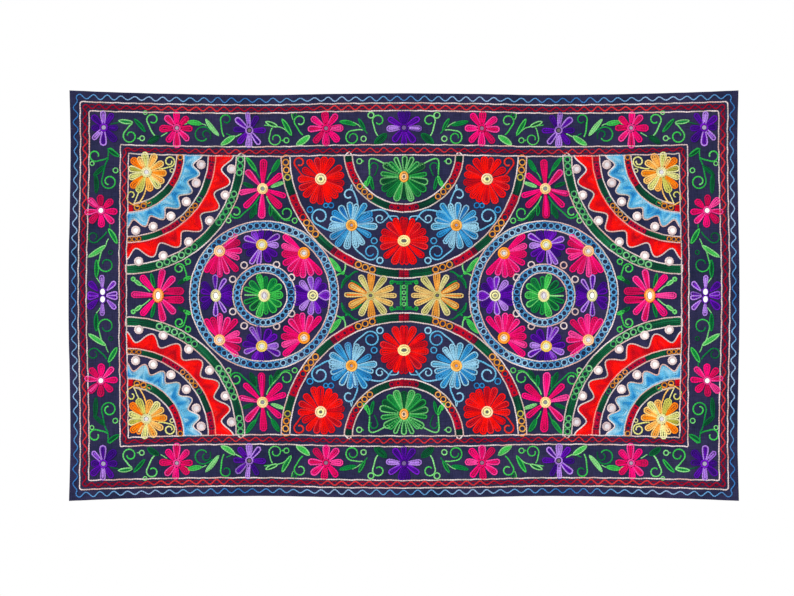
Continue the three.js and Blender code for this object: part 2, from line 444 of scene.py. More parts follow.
    def arc(self, x, y, r, a0, a1, yarn="pale", phase=0.2, width=CORD, wobble=0.22, **kw):
        """An outline along r, a number or a table of (angle, radius)."""
        deg = np.linspace(a0, a1, max(8, int(abs(a1 - a0) * 1.2)))
        kw.setdefault("height", 1.55)
        kw.setdefault("lift", 0.1)
        self.row(polar(x, y, at(r, deg), deg), yarn, phase, width=width, wobble=wobble, wander=0.0,
                 cycle=kw.pop("cycle", 260), **kw)

    def band(self, x, y, r0, r1, parts):
        """Part of a band between two outlines: (from, to, kind, yarn, phase) each, in degrees,
        and for rings the yarn and phase of the rows that lie under them."""
        for a0, a1, kind, yarn, phase, *under in parts:
            deg = np.linspace(a0, a1, max(4, int((a1 - a0) * 0.8)))
            lo, hi = at(r0, deg), at(r1, deg)
            wide = float(np.mean(hi - lo))
            mid = float(np.mean(hi + lo)) / 2
            if kind == "rows":
                under = [yarn, phase]
            if under:
                n = max(2, int(round((wide - CORD - ROW) / (ROW * 0.98))) + 1)
                for q, f in enumerate(np.linspace(0, 1, n)):
                    a, b = lo + CORD / 2 + ROW / 2 - 0.1, hi - CORD / 2 - ROW / 2 + 0.1
                    self.row(polar(x, y, a + (b - a) * f, deg), under[0], under[1] + 0.08 * self.rng.normal(),
                             width=1.95, cycle=200, wander=0.1, wobble=0.12, back=(q % 2 == 0))
            elif kind == "rings":
                for r in (lo + CORD / 2 + 0.5, hi - CORD / 2 - 0.5):
                    self.row(polar(x, y, r, deg), yarn, phase - 0.34, width=1.3, height=0.9, cycle=260,
                             wander=0.06, back=False)
            if kind == "rows":
                continue
            pitch = {"rings": 0.76, "wide": 0.86, "thick": 0.80, "tight": 0.80}[kind] * wide
            size = {"rings": 0.33, "wide": 0.335, "thick": 0.325, "tight": 0.27}[kind] * wide
            row = {"rings": 0.16, "wide": 0.165, "thick": 0.21, "tight": 0.17}[kind] * wide
            n = max(1, int(round(math.radians(a1 - a0) * mid / pitch)))
            for k in range(n):
                d = a0 + (a1 - a0) * (k + 0.5) / n
                cx, cy = polar(x, y, (at(r0, d) + at(r1, d)) / 2, d)
                if under:
                    self.ring(cx, cy, 0.45 * (size - row / 2), "night", 0.1, width=size - row / 2 + 0.2,
                              lift=0.25, height=1.5, back=False)
                self.ring(cx, cy, size, yarn, phase + self.rng.normal(0, 0.06), width=row, lift=0.3, height=1.6)

    def scallop(self, x, y, r0, table, yarn, phase, spread, lit=0.0):
        """A filled band whose outer edge runs in and out by a table of (angle, reach)."""
        deg = np.linspace(table[0][0], table[-1][0], 261)
        reach = at(table, deg)
        reach = np.convolve(np.pad(reach, 2, mode="edge"), [0.12, 0.22, 0.32, 0.22, 0.12], "valid")
        inner = at(r0, deg)
        slope = np.gradient(reach, np.radians(deg)) / reach
        steep = np.minimum(np.sqrt(1 + slope ** 2), 2.6)
        for k in range(24):
            # rows follow the outer edge, each one row further in
            r = reach - (CORD / 2 + ROW * (0.5 + 0.97 * k)) * (steep * 0.45 + 0.55)
            on = r > inner + CORD / 2 + ROW * 0.35
            if not on.any():
                break
            edges = np.flatnonzero(np.diff(np.r_[0, on.astype(int), 0]))
            for a, b in zip(edges[::2], edges[1::2]):
                if b - a >= 4:
                    d = deg[a:b]
                    patch = np.sin(d / 4.1 + 0.5 * k) + 0.7 * np.sin(d / 2.3 - 0.9 * k + 1.0)
                    self.row(polar(x, y, r[a:b], d), yarn,
                             phase + spread * patch + (lit if k == 0 else 0.0) + 0.05 * self.rng.normal(),
                             width=1.95, wander=0.06, wobble=0.1, back=(k % 2 == 0))
        self.row(polar(x, y, inner + CORD / 2 + ROW * 0.3, deg), yarn, phase - 0.1, width=2.1, lift=-0.2, wander=0.0, back=False)
        self.row(polar(x, y, reach, deg), "pale", 0.42, width=CORD, lift=0.15, wander=0.0, wobble=0.15, cycle=500)


def at(r, deg):
    """A radius at an angle, from a number or a table of (angle, radius)."""
    if np.ndim(r) == 0:
        return r + 0.0 * np.asarray(deg, float)
    t = np.asarray(r, float)
    return np.interp(deg, t[:, 0], t[:, 1])


# Shading of a petal or leaf: phase of its outline, phase of its filling
CODES = {"d": (0.04, 0.0), "m": (0.27, 0.22), "b": (0.50, 0.46), "l": (0.75, 0.68), "o": (0.74, 0.24),
         "x": (0.72, 0.02), "r": (0.72, 0.47), "c": (0.28, 0.02), "e": (0.50, 0.20), "i": (0.22, 0.50)}
# Mirror tints, painted reflection: the darker and coloured ones stand for what each mirror reflects
PAINTED_REFLECTION_TINTS = {"white": (0.95, 0.95, 0.94), "hazy": (0.70, 0.66, 0.70), "soft": (0.70, 0.69, 0.76), "grey": (0.27, 0.26, 0.28),
             "dark": (0.13, 0.12, 0.11), "lilac": (0.36, 0.31, 0.46), "rose": (0.40, 0.28, 0.38),
             "violet": (0.15, 0.09, 0.26), "wine": (0.27, 0.13, 0.22)}
MIRRORS = []
WORKS = {}


def work(name):
    return WORKS.setdefault(name, Work(name))


QUARTERS = [("tl", 1, 1), ("tr", -1, 1), ("bl", 1, -1), ("br", -1, -1)]

# ---------------------------------------------------------------- edging: cords and waves
# Each line runs parallel to the cloth's edge, from the middle of the top to the middle of
# the side: its distance from the top edge at the middle and at the corner, then from the
# side edge at the middle and at the corner, in layout steps.
LINES = {
    "cord_1": (9.7, 10.8, 9.8, 10.2), "cord_2": (17.3, 19.6, 17.8, 19.2),
    "cord_3": (51.2, 52.6, 51.0, 50.0), "cord_4": (61.8, 61.2, 58.2, 58.3),
    "blue_wave": (5.3, 5.7, 5.3, 5.8), "red_wave": (13.9, 15.2, 14.1, 15.0),
    "inner_wave": (56.8, 57.0, 54.6, 54.3),
}


def quarter(name):
    top_mid, top_end, side_mid, side_end = LINES[name]
    cx = CENTRE[0] - HALF_WIDTH / STEP + side_end + 0.3
    cy = CENTRE[1] - HALF_HEIGHT / STEP + top_end + 0.4
    x = np.arange(CENTRE[0], cx + 3.0, -2.0)
    f = (CENTRE[0] - x) / (CENTRE[0] - cx)
    y = CENTRE[1] + (inset(LONG_EDGE, (CENTRE[0] - x) * STEP) - HALF_HEIGHT) / STEP + top_mid + (top_end - top_mid) * f
    v = np.r_[np.arange(cy + 3.0, CENTRE[1] - 1.0, 2.0), CENTRE[1]]
    g = (CENTRE[1] - v) / (CENTRE[1] - cy)
    u = CENTRE[0] + (inset(SHORT_EDGE, (CENTRE[1] - v) * STEP) - HALF_WIDTH) / STEP + side_mid + (side_end - side_mid) * g
    t = np.linspace(0, 1, 7)[1:-1, None]
    bend = (1 - t) ** 2 * (x[-1], y[-1]) + 2 * t * (1 - t) * (cx, cy) + t ** 2 * (u[0], v[0])
    return np.vstack([np.stack([x, y], -1), bend, np.stack([u, v], -1)])


def full_loop(q):
    """The quarter line and its mirror images as one closed line."""
    def flip(p, x, y):
        p = p.copy()
        if x:
            p[:, 0] = 2 * CENTRE[0] - p[:, 0]
        if y:
            p[:, 1] = 2 * CENTRE[1] - p[:, 1]
        return p
    return np.vstack([q, flip(q, 0, 1)[::-1][1:], flip(q, 1, 1)[1:], flip(q, 1, 0)[::-1][1:-1]])


# Waves: yarn, sway, row width; the count of repeats at the middle of the top, at the corner
# and at the middle of the side; the dyed yarn's mean phase, its swing, the length of its
# repeat and where that starts; and the yarn of the second thread that crosses under the first.
WAVES = {
    "blue_wave": ("blue", 2.05, 1.28, (0, 23.75, 37.5), (0.48, 0.18, 187.0, 70.0), None),
    "red_wave": ("rose", 1.95, 1.7, (0.5, 23.5, 37), (0.36, 0.18, 174.0, 44.0), "maroon"),
    "inner_wave": ("rose", 1.9, 1.45, (0, 20.75, 31), (0.37, 0.11, 152.0, 20.0), "maroon"),
}


def edging():
    w = work("edging_rows")
    pen = Pen(w, seed=1)
    for k, name in enumerate(("cord_1", "cord_2", "cord_3", "cord_4")):
        loop = full_loop(quarter(name))
        _, s, _ = along(loop, False)
        fine = np.linspace(0, s[-1], int(s[-1] / 1.6), endpoint=False)
        loop = np.stack([np.interp(fine, s, loop[:, 0]), np.interp(fine, s, loop[:, 1])], -1)
        ph = 0.42 + 0.30 * np.sin(fine / 15.0 + k) + 0.16 * np.sin(fine / 5.3 + 2 * k)
        pen.row(loop, "pale", ph, width=1.4, height=1.5, closed=True, wander=0.0, wobble=0.34)
    for name, (yarn, amp, width, counts, dye, under) in WAVES.items():
        q = quarter(name)
        _, s, _ = along(q, False)
        fine = np.linspace(0, s[-1], int(s[-1] / 1.1))
        x, y = np.interp(fine, s, q[:, 0]), np.interp(fine, s, q[:, 1])
        corner = np.argmin(x + y)
        phase = np.interp(fine, (0, fine[corner], fine[-1]), counts)
        tx, ty = np.gradient(x), np.gradient(y)
        ln = np.hypot(tx, ty)
        nx, ny = -ty / ln, tx / ln
        jig = 1 + 0.13 * np.sin(fine / 23.0) + 0.10 * np.sin(fine / 9.1)
        sway = np.cos(2 * np.pi * phase)
        for second in ((0, 1) if under else (0,)):
            off = -amp * jig * sway * (-0.9 if second else 1)
            loop = full_loop(np.stack([x + nx * off, y + ny * off], -1))
            mean, swing, repeat, begin = dye
            ph = mean + swing * np.cos(2 * np.pi * (fine - begin) / repeat)
            ph = np.r_[ph, ph[::-1][1:], ph[1:], ph[::-1][1:-1]]
            if second:
                pen.row(loop, under, ph * 0.25, width=1.5, height=1.0, closed=True, wander=0.0, stitch=6.4)
            else:
                pen.row(loop, yarn, ph, width=width, height=1.5, lift=0.25, closed=True, wander=0.0, wobble=0.2,
                        fine=0.86)


# ---------------------------------------------------------------- border flowers and vines
BORDER_FLOWERS = [   # x, y, yarn, petals, mirror, its ring
    (103.6, 127.4, "purple",
     [(2.5, 14.5, 3.2, "d"), (47, 18.6, 3.8, "d"), (180, 12.8, 3.4, "d"), (-57, 17.2, 3.0, "m"),
      (-136, 17.3, 3.3, "c"), (133, 16.9, 2.7, "l"), (92, 18.7, 3.6, "o"), (-93, 17.0, 3.1, "l")],
     (2.3, 2.3, "lilac"), (3.5, 1.7, "purple", 0.38)),
    (176.8, 127.9, "pink",
     [(-44, 16.3, 3.4, "m"), (2, 16.0, 3.2, "c"), (178, 17.7, 3.6, "m"), (126, 17.5, 3.3, "b"),
      (-93, 17.2, 3.5, "b"), (48, 17.7, 3.3, "r"), (90, 20.5, 3.8, "o"), (-133, 17.0, 3.4, "o")],
     (1.9, 1.9, "rose"), (3.1, 1.5, "pink", 0.70)),
    (249.3, 130.3, "purple",
     [(180, 16.3, 3.0, "d"), (-61, 17.3, 2.8, "d"), (0, 16.9, 2.9, "m"), (130, 17.6, 3.0, "m"),
      (-138, 18.9, 3.4, "o"), (-96, 18.8, 2.6, "l"), (91, 17.8, 3.6, "l"), (52, 17.7, 2.9, "x")],
     (1.9, 1.9, "dark"), (3.4, 1.5, "purple", 0.75)),
    (326.0, 128.2, "pink",
     [(130, 19.3, 3.4, "d"), (-95, 17.5, 3.6, "m"), (-54, 18.3, 3.3, "e"), (49, 18.8, 3.6, "b"),
      (-143, 18.9, 3.5, "r"), (90, 18.2, 3.8, "r"), (176, 18.5, 3.3, "o"), (0, 17.5, 3.6, "l")],
     (2.0, 2.0, "wine"), (3.2, 1.6, "pink", 0.32)),
]
VINES = [
    [("l", (118.4, 120.6, 132.8, 122.4), 2.5, "o"), ("s", [(110.5, 124.2), (115, 122.9), (119, 122.4)], 0.1, 1.2),
     ("c", (132.5, 123.5, 130, 136), 7, -405, (0.66, 0.42), 1.6),
     ("r", 142.0, 138.2, 2.4, 0.68), ("s", [(137, 138.4), (140, 138.3)], 0.6, 1.6),
     ("l", (133.8, 118.8, 145.2, 132), 2.2, "c"),
     ("c", (155, 136, 152.5, 119.5), 6, 345, (0.7, 0.5), 1.65),
     ("r", 145.2, 112.6, 1.8, 0.68, 1.2), ("l", (147.6, 143, 159, 136), 3.3, "d"),
     ("s", [(160.6, 136.6), (164, 134.4), (167.4, 132.4)], 0.72, 1.2)],
    [("l", (187.4, 121.8, 201.6, 124), 2.8, "b"), ("s", [(184.4, 124.6), (187.6, 122.8)], 0.72, 1.2),
     ("s", [(201, 123.6), (203.6, 124.2), (206.4, 125.8)], 0.74, 1.1), ("l", (205.6, 119, 218.8, 135.6), 2.6, "l"),
     ("c", (213, 132, 202.5, 135), 8.5, -270, (0.26, 0.4), 1.6),
     ("c", (210, 139.5, 206, 134.5), 4.5, -255, 0.04, 1.7),
     ("c", (224, 137, 226, 119.5), 5.5, 345, (0.6, 0.1), 1.6),
     ("s", [(226, 133.4), (229.4, 135), (232.4, 136.2)], 0.3, 1.2), ("l", (221, 145, 235, 136), 3.0, "r"),
     ("s", [(235, 136.8), (238.4, 135.2), (241.8, 133.4)], 0.76, 1.2)],
    [("l", (265.6, 121.6, 277.8, 126.6), 2.5, "x"),
     ("s", [(264, 125), (281, 127.5), (289, 133)], 0.58, 1.2),
     ("l", (282, 118.8, 291.4, 135.4), 2.6, "e"),
     ("c", (272.5, 127.5, 275.5, 139), 6.5, -405, (0.62, 0.5), 1.4),
     ("r", 286.4, 140.3, 2.5, 0.56), ("s", [(281.4, 140.4), (284, 140.4)], 0.5, 1.8),
     ("c", (303, 135, 300, 121), 6, 345, (0.45, 0.66), 1.55),
     ("s", [(291.4, 113.4), (292, 117), (293.4, 120)], 0.6, 1.1), ("r", 294.8, 115.0, 1.9, 0.18, 1.2),
     ("l", (296.4, 145, 309.6, 135.6), 3.4, "r")],
    [("l", (339.6, 121.4, 356.4, 125.0), 2.5, "m"), ("s", [(352, 121.8), (357, 124), (360.8, 127.2)], 0.68, 1.1),
     ("l", (358.6, 118.4, 365.2, 130.4), 2.0, "c"), ("s", [(364.2, 129.4), (367.6, 133.6)], 0.3, 1.4),
     ("c", (363, 130, 352.5, 137.5), 7, -465, (0.68, 0.32), 1.5),
     ("r", 363.6, 138.7, 2.6, 0.70),
     ("c", (378, 136, 378.5, 120.5), 6, 345, (0.74, 0.5), 1.55),
     ("r", 371.0, 115.1, 2.9, 0.66, 1.5), ("l", (374.6, 143.6, 386.6, 133.6), 4.0, "d")],
]
SIDE_VINES = [
    [("l", (107.6, 148.6, 119.0, 156.4), 2.6, "c"), ("s", [(108, 157), (109.5, 148), (118, 154)], 0.34, 1.3),
     ("c", (108.5, 157, 95, 155.5), 6, 315, (0.34, 0.62), 1.7),
     ("r", 91.9, 163.4, 2.0, 0.62, 1.2),
     ("c", (108.5, 158, 109, 181.5), 7.5, -465, (0.26, 0.6), 1.65),
     ("r", 115.4, 170.3, 2.4, 0.6), ("l", (105, 165.4, 93.4, 175.6), 2.5, "d"), ("l", (95, 173.6, 95.8, 193.6), 2.6, "d")],
    [("s", [(109.6, 224), (109.8, 228)], 0.3, 1.2), ("l", (108.4, 228.6, 117, 243.6), 2.7, "e"),
     ("c", (106.5, 231.5, 93.5, 237), 6, 390, (0.22, 0.04), 1.6),
     ("l", (105.8, 245.4, 88.2, 257), 2.8, "r"), ("s", [(108.6, 238.4), (106.6, 242), (105.8, 245)], 0.64, 1.2),
     ("c", (104, 247, 106, 264.5), 8, -375, (0.72, 0.14), 1.5),
     ("r", 110.6, 252.4, 2.0, 0.04, 1.3), ("l", (96.4, 259.6, 96.2, 277.6), 2.6, "c"),
     ("s", [(96, 277.4), (98.4, 280.4), (100.8, 283.8)], 0.7, 1.2)],
]


def borders():
    for name, mx, mz in QUARTERS:
        side = "top" if mz > 0 else "bottom"
        hand = "left" if mx > 0 else "right"
        pen = Pen(work("border_vine_" + side), mx, mz, seed=20)
        for vine in VINES:
            pen.sprig(vine)
        for x, y, yarn, petals, glass, (r, width, ring, phase) in BORDER_FLOWERS:
            pen.flower(x, y, yarn, petals, r0=3.4, base=1.9)
            pen.eye(x, y, glass, [(r, r, width, ring, phase)])
        pen.flower(404.0, 127.6, "purple", [(175, 18.2, 3.2, "l"), (-147, 18.7, 3.0, "e"), (-103, 17.9, 3.4, "d"),
                                            (127.5, 18.3, 3.4, "c")], r0=3.6, base=1.9)
        pen = Pen(work("border_vine_" + hand), mx, mz, seed=30)
        for vine in SIDE_VINES:
            pen.sprig(vine)
        pen.flower(100.8, 210.4, "pink", [
            (131, 16.9, 3.4, "d"), (-92, 16.3, 3.5, "d"), (-43, 16.1, 3.4, "m"), (4.5, 17.1, 3.2, "e"), (90, 17.3, 3.6, "b"),
            (173, 16.8, 3.1, "o"), (47.5, 18.3, 3.1, "r"), (-137, 17.7, 3.6, "l")], r0=3.6, base=1.5)
        pen.eye(100.8, 210.4, (2.5, 2.6, "white"), [(3.5, 3.6, 1.3, "pink", 0.7)])
        pen.flower(102.6, CENTRE[1], "purple", [(-137, 19.8, 3.4, "c"), (-47, 19.3, 2.8, "r"), (-92, 20.8, 2.7, "l")],
                   r0=6.2, base=1.0)
    for mx, hand in ((1, "left"), (-1, "right")):
        pen = Pen(work("border_vine_" + hand), mx, 1, seed=40)
        pen.flower(102.6, CENTRE[1], "purple", [(-9, 15.5, 2.6, "o"), (9, 15.5, 2.6, "o"), (171, 15.9, 2.8, "e"),
                                                (189, 15.9, 2.8, "e")], r0=3.6, base=1.0)
        for dy in (-3.75, 3.75):
            pen.eye(102.6, CENTRE[1] + dy, (2.5, 3.3, "white"), [(3.2, 3.9, 1.0, "purple", 0.3)])
    for mz, side in ((1, "top"), (-1, "bottom")):
        pen = Pen(work("border_vine_" + side), 1, mz, seed=45)
        pen.flower(404.0, 127.6, "purple", [(90, 17.9, 3.0, "c")], r0=3.8)
        pen.eye(404.0, 127.6, (2.3, 2.3, "violet"), [(3.5, 3.5, 1.5, "purple", 0.1)])


# ---------------------------------------------------------------- corner fans
FX, FY = 128.03, 154.2
BAND_1 = ([(0, 48.7), (90, 50.2)], [(0, 55.8), (90, 58.2)])     # radii at the two ends
BAND_2 = ([(0, 80.2), (90, 82.4)], [(0, 87.6), (90, 88.4)])
BAND_3 = ([(0, 108.2), (90, 110.8)], [(0, 116.8), (90, 119.8)])


def teeth(first, pitch, low, high):
    """A regular scalloped edge from 0.4 to 90.8 degrees: each tooth falls slowly and rises quickly."""
    deg = np.linspace(0.4, 90.8, 227)
    f = ((deg - first) / pitch) % 1.0
    w = np.where(f < 0.6, 0.5 + 0.5 * np.cos(np.pi * f / 0.6), 0.5 - 0.5 * np.cos(np.pi * (f - 0.6) / 0.4))
    return list(zip(deg, low + (high - low) * w))


BLUE_EDGE = teeth(0.2, 15.2, 65.8, 74.4)
RED_EDGE = teeth(0.2, 15.2, 94.6, 105.8)


def fans():
    for name, mx, mz in QUARTERS:
        pen = Pen(work("corner_fan_" + name), mx, mz, seed=50)
        pen.flower(146.5, 172.1, "orange", [
            (-65, 20.9, 3.8, "r"), (30, 20.6, 3.5, "r"), (78, 20.1, 3.5, "b"), (-120, 17.7, 2.8, "l"), (136, 22.7, 3.7, "d"),
            (-139, 20.9, 3.6, "d"), (3, 20.8, 3.6, "e"), (-32, 19.7, 3.4, "r"), (112, 22.5, 3.9, "m", "lime"),
            (161, 19.2, 3.4, "r", "lime"), (193, 19.2, 3.6, "x", "lime"), (53, 21.3, 3.7, "r", "lime"),
            (-97, 20.7, 3.5, "r", "lime")], r0=4.2, base=1.7)
        pen.eye(146.5, 172.1, (2.1, 2.1, "hazy"), [(3.1, 3.1, 1.5, "cream", 0.74), (4.5, 4.5, 1.5, "lime", 0.66)])
        pen.sprig([("c", (158, 168.5, 169.5, 161.5), 5.5, -465, (0.5, 0.6), 1.6),
                   ("r", 172.0, 170.4, 1.9, 0.66, 1.1),
                   ("c", (127, 200, 131.5, 195), 3.5, 255, (0.2, 0.5), 1.5),
                   ("s", [(139, 192), (136, 199), (133.6, 204)], 0.6, 1.3)], "lime")
        pen.sprig([("s", [(147, 185), (144, 195), (138.5, 204)], (0.6, 0.7), 1.5),
                   ("s", [(127, 201), (135, 205.5), (139, 206.5)], 0.6, 1.4),
                   ("s", [(134, 203.5), (142.5, 201.5), (147.5, 202.5)], 0.7, 1.3),
                   ("s", [(141, 203.4), (146, 204), (150.6, 202)], 0.4, 1.2)], "orange")
        # first band
        pen.arc(FX, FY, BAND_1[0], 1, 84, phase=0.3)
        pen.arc(FX, FY, BAND_1[1], 0.5, 90.6, phase=0.5)
        pen.band(FX, FY, *BAND_1, [(0.5, 6.5, "wide", "ochre", 0.3), (6.6, 12, "wide", "red", 0.35),
                                   (12, 36, "tight", "red", 0.40, "maroon", 0.3), (36.5, 63, "rows", "moss", 0.2),
                                   (63.5, 69.5, "wide", "sage", 0.1), (69.5, 84, "wide", "ochre", 0.25),
                                   (84.5, 90.6, "rows", "red", 0.4)])
        pen.scallop(FX, FY, BAND_1[1], BLUE_EDGE, "sky", 0.46, 0.17, 0.18)
        # second band
        pen.arc(FX, FY, BAND_2[0], 0.5, 90.6)
        pen.arc(FX, FY, BAND_2[1], 0.5, 90.6, yarn="blush", phase=0.04, cycle=700)
        pen.band(FX, FY, *BAND_2, [(0.5, 5, "rows", "red", 0.3), (5.5, 17, "tight", "maroon", 0.5, "maroon", 0.3),
                                   (17.5, 29.5, "rows", "moss", 0.2), (29.5, 35.5, "wide", "sage", 0.05),
                                   (35.5, 47, "wide", "ochre", 0.3), (47, 52.5, "wide", "peach", 0.0),
                                   (53, 66, "tight", "maroon", 0.5, "maroon", 0.35), (66.5, 80.5, "rows", "moss", 0.25),
                                   (81, 90.6, "wide", "ochre", 0.2)])
        pen.scallop(FX, FY, BAND_2[1], RED_EDGE, "scarlet", 0.38, 0.19)
        # third band
        pen.arc(FX, FY, BAND_3[0], 1.0, 90.6)
        pen.arc(FX, FY, BAND_3[1], 0.2, 90.4, phase=0.6)
        pen.band(FX, FY, *BAND_3, [(1.0, 11, "thick", "sage", 0.30, "moss", 0.15), (11, 19, "rows", "moss", 0.3),
                                   (19, 38.5, "thick", "sage", 0.34, "moss", 0.2), (38.5, 52.5, "rows", "moss", 0.35),
                                   (52.5, 60, "thick", "sage", 0.24, "moss", 0.3), (60, 76, "thick", "sage", 0.42, "moss", 0.2),
                                   (76, 90.6, "rows", "moss", 0.3)])
        pen.stem([(125.5, 264.5), (126.5, 273), (131, 274)], 'pale', 0.4, width=CORD)
        pen.stem([(236, 157.5), (241, 153), (244, 156)], 'pale', 0.7, width=CORD)
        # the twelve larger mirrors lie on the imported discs
        for deg, inner, outer in FAN_MIRRORS:
            for reach in (inner, outer):
                px, py = polar(FX, FY, reach / STEP, deg)
                # the dimmer mirrors get the hazy tint, a painted reflection, and darker rings
                dimmer = deg < 10 or (deg < 30 and reach == inner)
                pen.eye(px, py, (5.5 / STEP, 5.5 / STEP, "hazy" if dimmer else "white"),
                        [(3.35, 3.35, 2.5, "shell", (0.0 if dimmer else 0.10) + 0.16 * pen.rng.random())])


# ---------------------------------------------------------------- star flower and its scrolls
def stars():
    for name, mx, mz in QUARTERS:
        pen = Pen(work("star_spray_" + name), mx, mz, seed=60)
        x, y = 262.6, 188.7
        pen.sprig([
            ("l", (256.6, 171.6, 246.2, 157.4), 2.4, "m"), ("s", [(259.8, 178.6), (257.4, 173.6), (255, 168.6)], 0.3, 1.3),
            ("l", (271.6, 172, 279, 159.4), 2.8, "m"), ("s", [(267, 180), (269, 175.4), (271.8, 171.6)], 0.5, 1.3),
            ("l", (271, 186.9, 284.2, 182.2), 2.2, "l"), ("l", (253.6, 186.9, 242.6, 182.6), 2.2, "d"),
            ("l", (255.8, 206, 250.4, 218.6), 3.0, "d"), ("s", [(256.6, 203), (256.4, 209), (256, 214.6)], 0.2, 1.6),
            ("c", (259.5, 196, 236, 212), 6.5, 465, (0.26, 0.62), 1.75),
            ("r", 228.6, 220.6, 2.4, 0.72), ("s", [(230.4, 213.6), (230.6, 217), (229.6, 219)], 0.5, 1.4),
            ("l", (270.4, 204.6, 270.6, 216), 2.2, "c"), ("l", (273.6, 210.6, 279, 221), 2.8, "d"),
            ("c", (266.5, 196, 286, 213), 6.5, -360, (0.66, 0.5), 1.5),
            ("s", [(272.5, 210), (284, 220), (290.5, 220)], 0.3, 1.3),
            ("r", 294.7, 220.6, 2.5, 0.58)])
        pen.flower(x, y, "pink", [
            (-87, 29.8, 3.7, "m"), (44.7, 26.8, 3.5, "m"), (-39, 24.3, 3.0, "e"), (17.6, 25.0, 2.9, "b"), (136, 26.5, 3.1, "e"),
            (168, 24.7, 3.0, "l"), (92, 29.9, 3.7, "r"), (-132, 25.3, 3.3, "o")], r0=5.0, base=1.5)
        pen.eye(x, y, (1.9, 1.9, "grey"), [(2.9, 2.9, 1.7, "cream", 0.5), (4.6, 4.6, 1.9, "peach", 0.35)])


# ---------------------------------------------------------------- half rounds, top and bottom
HALF_BIG = (114.2, 122.9)       # radii of the outlines
HALF_SMALL = (51.8, 59.7)


